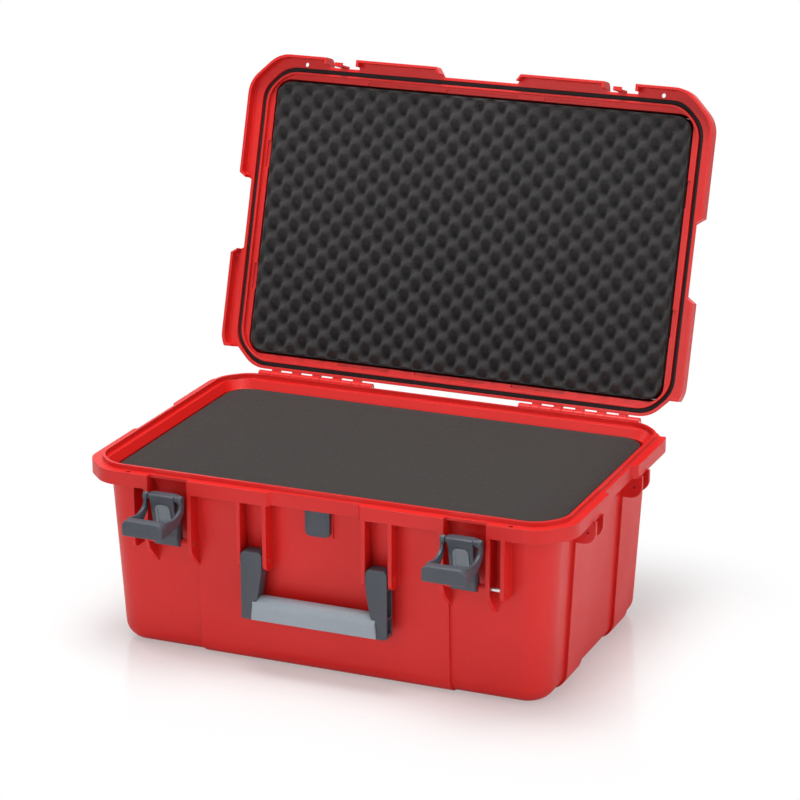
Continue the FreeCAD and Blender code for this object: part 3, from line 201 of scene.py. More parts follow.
class Effects:
    """Node groups that more than one finish uses; each is built once."""

    def __init__(self) -> None:
        """Build every group."""
        self.grain = self.moulded_grain()
        self.edges = self.soft_edges()
        self.drift = self.tone_drift()
        self.foam = self.foam_cells()

    @staticmethod
    def group(name: str, inputs: dict[str, str], outputs: dict[str, str]) -> tuple[Tree, dict, dict]:
        """Start a node group.

        Args:
            name: Name of the group.
            inputs: Input names and their socket types.
            outputs: Output names and their socket types.

        Returns:
            The group's tree, its input sockets and its output sockets, by name.
        """
        tree = bpy.data.node_groups.new(name, "ShaderNodeTree")
        for direction, sockets in (("INPUT", inputs), ("OUTPUT", outputs)):
            for label, kind in sockets.items():
                tree.interface.new_socket(label, in_out=direction, socket_type=f"NodeSocket{kind}")
        made = Tree(tree)
        entry = made.add("NodeGroupInput").outputs
        leave = made.add("NodeGroupOutput").inputs
        return made, {k: entry[k] for k in inputs}, {k: leave[k] for k in outputs}

    def moulded_grain(self) -> bpy.types.NodeTree:
        """Fine spark-eroded grain of a moulded face: rounded cells with finer noise on top."""
        tree, given, out = self.group("moulded_grain", {"Vector": "Vector", "Scale": "Float"}, {"Height": "Float"})
        cell = tree.cells(given["Vector"], given["Scale"], "SMOOTH_F1")
        fine = tree.noise(given["Vector"], tree.sum("MULTIPLY", given["Scale"], 2.3), detail=2.0)
        height = tree.sum("ADD", tree.sum("MULTIPLY", cell, 0.7), tree.sum("MULTIPLY", fine, 0.5))
        tree.feed(out["Height"], height)
        return tree.tree

    def soft_edges(self) -> bpy.types.NodeTree:
        """Rounded shading over sharp edges, and a mask of those edges broken up by noise."""
        tree, given, out = self.group(
            "soft_edges", {"Vector": "Vector", "Radius": "Float"}, {"Mask": "Float", "Normal": "Vector"}
        )
        bevel = tree.add("ShaderNodeBevel", samples=6)
        tree.feed(bevel.inputs["Radius"], given["Radius"])
        plain = tree.add("ShaderNodeNewGeometry").outputs["Normal"]
        dot = tree.add("ShaderNodeVectorMath", operation="DOT_PRODUCT")
        tree.feed(dot.inputs[0], bevel.outputs["Normal"])
        tree.feed(dot.inputs[1], plain)
        turned = tree.ramp(tree.sum("SUBTRACT", 1.0, dot.outputs["Value"]), low=0.01, high=0.22)
        broken = tree.ramp(tree.noise(given["Vector"], scale=260.0, detail=4.0, rough=0.65), low=0.34, high=0.66)
        tree.feed(out["Mask"], tree.sum("MULTIPLY", turned, broken, clamp=True))
        tree.feed(out["Normal"], bevel.outputs["Normal"])
        return tree.tree

    def tone_drift(self) -> bpy.types.NodeTree:
        """Slow change of tone over a part, with faint fine mottling."""
        tree, given, out = self.group(
            "tone_drift",
            {"Vector": "Vector", "Base": "Color", "Deep": "Color", "Pale": "Color"},
            {"Color": "Color", "Patch": "Float"},
        )
        slow = tree.ramp(tree.noise(given["Vector"], scale=7.0, detail=3.0), low=0.35, high=0.68)
        mottle = tree.ramp(tree.noise(given["Vector"], scale=420.0, detail=3.0, rough=0.6), low=0.36, high=0.68)
        tone = tree.mix(tree.sum("MULTIPLY", slow, 0.55), given["Base"], given["Deep"])
        tree.feed(out["Color"], tree.mix(tree.sum("MULTIPLY", mottle, 0.22), tone, given["Pale"]))
        tree.feed(out["Patch"], slow)
        return tree.tree

    def foam_cells(self) -> bpy.types.NodeTree:
        """Open foam cells: pits for the bump, and a fleck mask for the colour."""
        tree, given, out = self.group(
            "foam_cells", {"Vector": "Vector", "Scale": "Float"}, {"Height": "Float", "Fleck": "Float"}
        )
        pits = tree.cells(given["Vector"], given["Scale"])
        coarse = tree.noise(given["Vector"], tree.sum("MULTIPLY", given["Scale"], 0.35), detail=4.0, rough=0.6)
        fine = tree.noise(given["Vector"], tree.sum("MULTIPLY", given["Scale"], 1.7), detail=2.0)
        height = tree.sum("ADD", tree.sum("MULTIPLY", pits, 0.6), tree.sum("MULTIPLY", coarse, 0.9))
        tree.feed(out["Height"], height)
        tree.feed(out["Fleck"], tree.ramp(tree.sum("MULTIPLY", coarse, fine), low=0.14, high=0.40))
        return tree.tree


@dataclass(frozen=True)
class MouldedFinish:
    """Moulded plastic with a fine grain, soft edges, and pale edges that stand partly for rubbing and partly for a
    painted highlight.
    """

    name: str
    base: Colour
    deep: Colour
    pale: Colour
    # Colour of the pale edges: partly rubbing, partly a painted highlight where light catches the edges
    edge_wear_and_highlight: Colour
    roughness: float
    grain_scale: float
    grain_depth: float
    edge_radius: float
    wear_and_highlight_share: float
    specular: float = 0.5
    rough_drift: float = 0.08
    worn_polish: float = 0.15
    grain_strength: float = 0.35

    def make(self, effects: Effects) -> Material:
        """Build the material.

        Args:
            effects: Shared node groups.

        Returns:
            The finished material.
        """
        material, tree, shader = start_material(self.name)
        place = tree.add("ShaderNodeTexCoord").outputs["Object"]
        edges = place_group(tree, effects.edges, Vector=place, Radius=self.edge_radius)
        drift = place_group(tree, effects.drift, Vector=place, Base=self.base, Deep=self.deep, Pale=self.pale)
        grain = place_group(tree, effects.grain, Vector=place, Scale=self.grain_scale)
        # Pale edges: partly rubbing, partly a painted highlight along every edge in place of light caught on rounded
        # edges
        edge_wear_and_highlight = tree.sum("MULTIPLY", edges["Mask"], self.wear_and_highlight_share)
        tree.feed(shader.inputs["Base Color"], tree.mix(edge_wear_and_highlight, drift["Color"], self.edge_wear_and_highlight))
        least = self.roughness - self.rough_drift / 2
        rough = tree.sum("ADD", tree.sum("MULTIPLY", drift["Patch"], self.rough_drift), least)
        polish = tree.sum("MULTIPLY", edge_wear_and_highlight, self.worn_polish)
        tree.feed(shader.inputs["Roughness"], tree.sum("SUBTRACT", rough, polish))
        shader.inputs["Specular IOR Level"].default_value = self.specular
        bump = tree.add("ShaderNodeBump")
        bump.inputs["Strength"].default_value = self.grain_strength
        bump.inputs["Distance"].default_value = self.grain_depth
        tree.feed(bump.inputs["Height"], grain["Height"])
        tree.feed(bump.inputs["Normal"], edges["Normal"])
        tree.feed(shader.inputs["Normal"], bump.outputs["Normal"])
        return material


@dataclass(frozen=True)
class FoamFinish:
    """Open-cell foam with pale flecks."""

    name: str
    base: Colour
    deep: Colour
    fleck: Colour
    cell_scale: float
    cell_depth: float
    fleck_share: float = 0.55
    roughness: float = 0.95
    specular: float = 0.12
    sheen: float = 0.12
    sheen_roughness: float = 0.6
    cell_strength: float = 0.7

    def make(self, effects: Effects) -> Material:
        """Build the material.

        Args:
            effects: Shared node groups.

        Returns:
            The finished material.
        """
        material, tree, shader = start_material(self.name)
        place = tree.add("ShaderNodeTexCoord").outputs["Object"]
        drift = place_group(tree, effects.drift, Vector=place, Base=self.base, Deep=self.deep, Pale=self.fleck)
        cells = place_group(tree, effects.foam, Vector=place, Scale=self.cell_scale)
        flecked = tree.mix(tree.sum("MULTIPLY", cells["Fleck"], self.fleck_share), drift["Color"], self.fleck)
        tree.feed(shader.inputs["Base Color"], flecked)
        shader.inputs["Roughness"].default_value = self.roughness
        shader.inputs["Specular IOR Level"].default_value = self.specular
        shader.inputs["Sheen Weight"].default_value = self.sheen
        shader.inputs["Sheen Roughness"].default_value = self.sheen_roughness
        bump = tree.add("ShaderNodeBump")
        bump.inputs["Strength"].default_value = self.cell_strength
        bump.inputs["Distance"].default_value = self.cell_depth
        tree.feed(bump.inputs["Height"], cells["Height"])
        tree.feed(shader.inputs["Normal"], bump.outputs["Normal"])
        return material


@dataclass(frozen=True)
class SteelFinish:
    """Drawn steel with fine lines along the pin."""

    name: str
    base: Colour
    deep: Colour
    roughness: float
    line_scale: float = 5200.0
    line_stretch: Place = (0.03, 1.0, 1.0)
    line_roughness: float = 0.16
    line_strength: float = 0.2
    line_depth: float = 0.00004

    def make(self, effects: Effects) -> Material:
        """Build the material.

        Args:
            effects: Shared node groups.

        Returns:
            The finished material.
        """
        material, tree, shader = start_material(self.name)
        place = tree.add("ShaderNodeTexCoord").outputs["Object"]
        stretch = tree.add("ShaderNodeMapping")
        stretch.inputs["Scale"].default_value = self.line_stretch
        tree.feed(stretch.inputs["Vector"], place)
        lines = tree.noise(stretch.outputs["Vector"], self.line_scale, detail=3.0)
        drift = place_group(tree, effects.drift, Vector=place, Base=self.base, Deep=self.deep, Pale=self.base)
        tree.feed(shader.inputs["Base Color"], drift["Color"])
        shader.inputs["Metallic"].default_value = 1.0
        uneven = tree.sum("MULTIPLY", lines, self.line_roughness)
        tree.feed(shader.inputs["Roughness"], tree.sum("ADD", uneven, self.roughness))
        bump = tree.add("ShaderNodeBump")
        bump.inputs["Strength"].default_value = self.line_strength
        bump.inputs["Distance"].default_value = self.line_depth
        tree.feed(bump.inputs["Height"], lines)
        tree.feed(shader.inputs["Normal"], bump.outputs["Normal"])
        return material


def start_material(name: str) -> tuple[Material, Tree, bpy.types.Node]:
    """Start a node material.

    Args:
        name: Name of the material.

    Returns:
        The material, its tree and its Principled shader.
    """
    material = bpy.data.materials.new(name)
    material.use_nodes = True
    tree = Tree(material.node_tree)
    return material, tree, material.node_tree.nodes["Principled BSDF"]


def place_group(tree: Tree, group: bpy.types.NodeTree, **values: object) -> bpy.types.NodeOutputs:
    """Place a shared group in a material.

    Args:
        tree: Tree of the material.
        group: The shared group.
        **values: Numbers, colours or sockets for the group's inputs.

    Returns:
        The group's outputs.
    """
    node = tree.add("ShaderNodeGroup")
    node.node_tree = group
    for name, value in values.items():
        tree.feed(node.inputs[name], value)
    return node.outputs


RED_SHELL = MouldedFinish(
    "red_shell",
    base=display(214, 23, 19), deep=display(204, 19, 16), pale=display(223, 40, 32), edge_wear_and_highlight=display(236, 88, 74),
    roughness=0.44, grain_scale=1500.0, grain_depth=0.00012, edge_radius=0.0011, wear_and_highlight_share=0.35, specular=0.42,
)
DARK_PLASTIC = MouldedFinish(
    "dark_plastic",
    base=display(64, 69, 78), deep=display(57, 62, 71), pale=display(82, 88, 97), edge_wear_and_highlight=display(122, 128, 135),
    roughness=0.46, grain_scale=1700.0, grain_depth=0.00010, edge_radius=0.0008, wear_and_highlight_share=0.45,
)
GRIP_PLASTIC = MouldedFinish(
    "grip_plastic",
    base=display(150, 159, 168), deep=display(140, 149, 158), pale=display(164, 172, 180), edge_wear_and_highlight=display(178, 186, 192),
    roughness=0.52, grain_scale=1300.0, grain_depth=0.00012, edge_radius=0.0010, wear_and_highlight_share=0.3,
)
# The button's pale rim, with its high edge share, is mostly a painted highlight in place of light on the raised rim
BUTTON_PLASTIC = MouldedFinish(
    "button_plastic",
    base=display(118, 125, 135), deep=display(110, 117, 127), pale=display(134, 141, 150), edge_wear_and_highlight=display(188, 193, 199),
    roughness=0.45, grain_scale=1700.0, grain_depth=0.00008, edge_radius=0.0014, wear_and_highlight_share=0.9,
)
SEAL_RUBBER = MouldedFinish(
    "seal_rubber",
    base=display(44, 40, 42), deep=display(38, 34, 36), pale=display(56, 52, 54), edge_wear_and_highlight=display(64, 60, 62),
    roughness=0.7, grain_scale=900.0, grain_depth=0.00015, edge_radius=0.0006, wear_and_highlight_share=0.2, specular=0.3,
)
MEMBRANE = MouldedFinish(
    "vent_membrane",
    base=display(216, 216, 212), deep=display(206, 206, 202), pale=display(226, 226, 222), edge_wear_and_highlight=display(228, 228, 226),
    roughness=0.8, grain_scale=2600.0, grain_depth=0.00006, edge_radius=0.0002, wear_and_highlight_share=0.1, specular=0.3,
)
PIN_STEEL = SteelFinish("pin_steel", base=(0.62, 0.62, 0.63), deep=(0.5, 0.5, 0.51), roughness=0.22)
BASE_FOAM = FoamFinish(
    "base_foam",
    base=display(34, 30, 28), deep=display(29, 26, 25), fleck=display(62, 56, 52),
    cell_scale=900.0, cell_depth=0.0009,
)
LID_FOAM = FoamFinish(
    "lid_foam",
    base=display(44, 42, 43), deep=display(39, 38, 38), fleck=display(66, 64, 64),
    cell_scale=900.0, cell_depth=0.0006,
)


class Finishes:
    """Every finish of the case as a material, by the name of its record slot."""

    def __init__(self) -> None:
        """Build the shared groups and all materials."""
        effects = Effects()
        self.by_slot: dict[str, Material] = {
            "red_shell": RED_SHELL.make(effects),
            "dark_plastic": DARK_PLASTIC.make(effects),
            "grip_plastic": GRIP_PLASTIC.make(effects),
            "button_plastic": BUTTON_PLASTIC.make(effects),
            "seal_rubber": SEAL_RUBBER.make(effects),
            "membrane": MEMBRANE.make(effects),
            "pin_steel": PIN_STEEL.make(effects),
            "foam": BASE_FOAM.make(effects),
        }
        self.lid_foam = LID_FOAM.make(effects)


def dress(piece: Mesh, material: Material) -> None:
    """Give a piece one material."""
    piece.data.materials.clear()
    piece.data.materials.append(material)


def settle(name: str, shape: Shape, material: Material, smooth_below: float = 40.0) -> Mesh:
    """Turn a finished bmesh into an object in the scene.

    Args:
        name: Name of the piece.
        shape: The bmesh, which is freed.
        material: Finish of the piece.
        smooth_below: Edges that turn less than this many degrees are shaded smooth.

    Returns:
        The new object.
    """
    bmesh.ops.recalc_face_normals(shape, faces=shape.faces)
    for face in shape.faces:
        face.smooth = True
    for edge in shape.edges:
        edge.smooth = len(edge.link_faces) == 2 and edge.calc_face_angle(0.0) < math.radians(smooth_below)
    data = bpy.data.meshes.new(name)
    shape.to_mesh(data)
    shape.free()
    piece = bpy.data.objects.new(name, data)
    bpy.context.scene.collection.objects.link(piece)
    dress(piece, material)
    return piece


def attach(piece: Mesh, body: str, slot: str, *nodes: str) -> Mesh:
    """Let a piece ride on a body in place of CAD nodes.

    Args:
        piece: The piece.
        body: Body it rides on.
        slot: Record slot of its finish; not used.
        *nodes: CAD nodes that it stands for.

    Returns:
        The piece.
    """
    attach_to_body(piece, body)
    if nodes:
        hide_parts(*nodes)
    LOG.info("%s rides on %s", piece.name, body)
    return piece


def drawn(outline: Outline, low: float, high: float, axis: str = "x") -> Shape:
    """Draw an outline out along an axis.

    Args:
        outline: Corners as (y, z) for the X axis, or (x, z) for the Y axis.
        low: Start along the axis.
        high: End along the axis.
        axis: "x" or "y".

    Returns:
        The closed shape.
    """
    shape = bmesh.new()
    corners = [(low, u, v) if axis == "x" else (u, low, v) for u, v in outline]
    face = shape.faces.new([shape.verts.new(corner) for corner in corners])
    made = bmesh.ops.extrude_face_region(shape, geom=[face])["geom"]
    way = Vector((high - low, 0, 0)) if axis == "x" else Vector((0, high - low, 0))
    bmesh.ops.translate(shape, vec=way, verts=[item for item in made if isinstance(item, bmesh.types.BMVert)])
    bmesh.ops.recalc_face_normals(shape, faces=shape.faces)
    return shape


def block(x: Span, y: Span, z: Span) -> Shape:
    """Box between two places on each axis."""
    shape = bmesh.new()
    bmesh.ops.create_cube(shape, size=1.0)
    bmesh.ops.scale(shape, vec=[high - low for low, high in (x, y, z)], verts=shape.verts)
    bmesh.ops.translate(shape, vec=[(low + high) / 2 for low, high in (x, y, z)], verts=shape.verts)
    return shape


def rod(x: Span, radius: float, y: float, z: float, sides: int = 40) -> Shape:
    """Round bar along X.

    Args:
        x: Start and end along X.
        radius: Radius of the bar.
        y: Place of its axis along Y.
        z: Place of its axis along Z.
        sides: Sides of the circle.

    Returns:
        The closed shape.
    """
    shape = bmesh.new()
    turn = Matrix.Translation(((x[0] + x[1]) / 2, y, z)) @ Matrix.Rotation(math.pi / 2, 4, "Y")
    bmesh.ops.create_cone(
        shape, cap_ends=True, segments=sides, radius1=radius, radius2=radius, depth=x[1] - x[0], matrix=turn
    )
    return shape


def round_off(shape: Shape, edges: Edges, radius: float, segments: int = 3) -> Shape:
    """Round edges off; the shape is returned for chaining."""
    bmesh.ops.bevel(
        shape, geom=edges, offset=radius, offset_type="OFFSET", segments=segments, profile=0.5,
        affect="EDGES", material=-1, clamp_overlap=True,
    )
    return shape


def edges_at(shape: Shape, near: float = NEAR, **places: float) -> Edges:
    """Find edges whose two ends lie at given coordinates.

    Args:
        shape: The shape to search.
        near: Largest difference, in the shape's own unit.
        **places: Coordinates by axis, such as y=-60.0.

    Returns:
        The edges, in the shape's order.
    """
    return [
        edge
        for edge in shape.edges
        if all(abs(getattr(vert.co, axis) - value) < near for vert in edge.verts for axis, value in places.items())
    ]


def runs_along(edge: bmesh.types.BMEdge, axis: str, near: float = NEAR) -> bool:
    """Whether an edge's two ends differ along an axis."""
    first, second = (getattr(vert.co, axis) for vert in edge.verts)
    return abs(first - second) > near


def sharp_edges(shape: Shape, degrees: float = 35.0) -> Edges:
    """Edges that turn by more than an angle."""
    return [edge for edge in shape.edges if edge.is_manifold and edge.calc_face_angle(0.0) > math.radians(degrees)]


def combined_mesh(first: Mesh, second: Mesh, way: Combine) -> bpy.types.Mesh:
    """Join or cut two objects.

    Args:
        first: The object that is kept.
        second: The object that is joined to it or cut from it.
        way: Join or cut.

    Returns:
        The new mesh data; the objects stay as they are.
    """
    modifier = first.modifiers.new("combine", "BOOLEAN")
    modifier.operation = way.value
    modifier.solver = "EXACT"
    modifier.object = second
    bpy.context.view_layer.update()
    done = bpy.data.meshes.new_from_object(first.evaluated_get(bpy.context.evaluated_depsgraph_get()))
    first.modifiers.clear()
    return done


def combined(first: Shape, second: Shape, way: Combine) -> Shape:
    """Join or cut two closed shapes.

    Args:
        first: The shape that is kept; it is freed.
        second: The shape that is joined to it or cut from it; it is freed.
        way: Join or cut.

    Returns:
        The new shape.
    """
    pair = []
    for shape in (first, second):
        data = bpy.data.meshes.new("scratch")
        shape.to_mesh(data)
        shape.free()
        pair.append(bpy.data.objects.new("scratch", data))
        bpy.context.scene.collection.objects.link(pair[-1])
    done = combined_mesh(pair[0], pair[1], way)
    result = bmesh.new()
    result.from_mesh(done)
    for item in pair:
        bpy.data.objects.remove(item)
    bpy.data.meshes.remove(done)
    return result


def all_joined(shapes: list[Shape]) -> Shape:
    """Join several closed shapes into one."""
    whole = shapes[0]
    for shape in shapes[1:]:
        whole = combined(whole, shape, Combine.JOIN)
    return whole


def mirrored(shape: Shape) -> Shape:
    """Copy of a shape on the other side of the YZ plane."""
    twin = shape.copy()
    bmesh.ops.scale(twin, vec=(-1.0, 1.0, 1.0), verts=twin.verts)
    bmesh.ops.recalc_face_normals(twin, faces=twin.faces)
    return twin


def joint_entry(name: str) -> dict:
    """Entry of a joint in the frame."""
    return next(entry for entry in frame["joints"] if entry["name"] == name)


def joint_place(name: str) -> Matrix:
    """Place of a joint at rest, with a scale from millimetres to metres."""
    return Matrix.Translation(Vector(joint_entry(name)["pos_m"])) @ Matrix.Scale(MM, 4)


def lid_opening() -> Matrix:
    """Turn that takes the shut lid to its open place at rest."""
    hinge = joint_entry("lid_hinge")
    place = Matrix.Translation(Vector(hinge["pos_m"]))
    turn = Matrix.Rotation(-math.radians(hinge["range_deg"][1]), 4, "X")
    return place @ turn @ place.inverted()


class Shells:
    """Moulded shells, pins, valve and seal, kept as packed and dressed."""

    def dress(self, finishes: Finishes) -> None:
        """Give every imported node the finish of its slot."""
        for entry in frame["record"]["subparts"]:
            node = frame["nodes"][entry["node"]]
            dress(node, finishes.by_slot[entry["material_slot"]])
            LOG.info("%s dressed as %s", node.name, entry["material_slot"])


@dataclass
class FoamPad:
    """Foam pad with rounded corners whose upper face follows a height function."""

    half_x: float
    half_y: float
    corner: float
    back: float
    spacing: float

    def build(self, height: Callable[[float, float], float], edge_round: float, foot_round: float) -> Shape:
        """Make the pad from a grid, a drawn-out border and a closed back.

        Args:
            height: Level of the upper face at a place.
            edge_round: Radius along the border of the upper face.
            foot_round: Radius along the border of the back.

        Returns:
            The pad as a bmesh.
        """
        shape = bmesh.new()
        counts = [max(4, round(2 * half / self.spacing)) for half in (self.half_x, self.half_y)]
        bmesh.ops.create_grid(shape, x_segments=counts[0], y_segments=counts[1], size=1.0)
        bmesh.ops.scale(shape, vec=(self.half_x, self.half_y, 1.0), verts=shape.verts)
        for vert in shape.verts:
            vert.co.x, vert.co.y = self.rounded(vert.co.x, vert.co.y)
            vert.co.z = height(vert.co.x, vert.co.y)
        border = [edge for edge in shape.edges if edge.is_boundary]
        sides = bmesh.ops.extrude_edge_only(shape, edges=border)["geom"]
        for item in sides:
            if isinstance(item, bmesh.types.BMVert):
                item.co.z = self.back
        rim = [item for item in sides if isinstance(item, bmesh.types.BMEdge) and item.is_boundary]
        bmesh.ops.contextual_create(shape, geom=rim)
        round_off(shape, border, edge_round, 3)
        return round_off(shape, rim, foot_round, 6)

    def rounded(self, x: float, y: float) -> tuple[float, float]:
        """Draw a point of the plain rectangle into the one with round corners.

        Args:
            x: Place along X in the rectangle.
            y: Place along Y in the rectangle.

        Returns:
            The moved place.
        """
        over_x = (abs(x) - self.half_x + self.corner) / self.corner
        over_y = (abs(y) - self.half_y + self.corner) / self.corner
        if over_x <= 0 or over_y <= 0:
            return x, y
        new_x = self.half_x - self.corner + self.corner * over_x * math.sqrt(1 - over_y * over_y / 2)
        new_y = self.half_y - self.corner + self.corner * over_y * math.sqrt(1 - over_x * over_x / 2)
        return math.copysign(new_x, x), math.copysign(new_y, y)


@dataclass
class BaseFoam:
    """Three flat foam layers stacked in the tub."""

    corner: float = 32.5 * MM
    edge_round: float = 1.6 * MM
    foot_round: float = 20.5 * MM
    spacing: float = 12.0 * MM
    notch_half: float = 20.0 * MM
    notch_depth: float = 14.0 * MM
    notch_height: float = 45.25 * MM
    sag_depth: float = 0.4 * MM
    sag_waves: Span = (23.0, 19.0)

    def build(self, finishes: Finishes) -> None:
        """Make one padded piece for each layer."""
        for layer in ("bottom", "middle", "top"):
            node = f"base_foam_{layer}"
            low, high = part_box(node)
            pad = FoamPad(high.x, high.y, self.corner, low.z, self.spacing)
            level = high.z
            foot = self.foot_round if layer == "bottom" else self.edge_round
            shape = pad.build(lambda x, y: level - self.sag(x, y), self.edge_round, foot)
            piece = settle(f"{node}_pad", shape, finishes.by_slot["foam"])
            if layer == "top":
                self.notch(piece, high)
            attach(piece, "base", "foam", node)

    def sag(self, x: float, y: float) -> float:
        """Slight unevenness of a cut foam face."""
        return self.sag_depth * (1 + math.sin(self.sag_waves[0] * x) * math.sin(self.sag_waves[1] * y))

    def notch(self, piece: Mesh, high: Vector) -> None:
        """Cut the room for the valve nut into the front of the top layer."""
        room = block(
            (-self.notch_half, self.notch_half),
            (-high.y - self.notch_depth, -high.y + self.notch_depth),
            (high.z - self.notch_height, high.z + self.notch_height),
        )
        tool = settle("notch_tool", room, piece.data.materials[0])
        piece.data = combined_mesh(piece, tool, Combine.CUT)
        bpy.data.objects.remove(tool)


@dataclass
class LidFoam:
    """Egg-crate foam pad in the lid, drawn with the lid shut and turned open with it."""

    half_x: float = 293.5 * MM
    half_y: float = 184.5 * MM
    corner: float = 21.5 * MM
    back: float = 293.0 * MM
    middle: float = 246.0 * MM
    rise: float = 7.0 * MM
    period: float = 31.0 * MM
    border: float = 4.0 * MM
    spacing: float = 2.6 * MM
    edge_round: float = 1.0 * MM
    smooth_below: float = 60.0

    def level(self, x: float, y: float) -> float:
        """Height of the bumpy face, flat along the border.

        Args:
            x: Place along X.
            y: Place along Y.

        Returns:
            The level above the underside of the case.
        """
        fade = 1.0
        for distance in (self.half_x - abs(x), self.half_y - abs(y)):
            share = min(max(distance / self.border, 0.0), 1.0)
            fade *= share * share * (3 - 2 * share)
        wave = math.tau / self.period
        return self.middle - fade * self.rise * math.cos(wave * x) * math.cos(wave * y)

    def build(self, finishes: Finishes) -> None:
        """Make the padded piece."""
        pad = FoamPad(self.half_x, self.half_y, self.corner, self.back, self.spacing)
        shape = pad.build(self.level, self.edge_round, self.edge_round)
        bmesh.ops.transform(shape, matrix=lid_opening(), verts=shape.verts)
        piece = settle("lid_foam_pad", shape, finishes.lid_foam, self.smooth_below)
        attach(piece, "lid", "foam", "lid_foam")


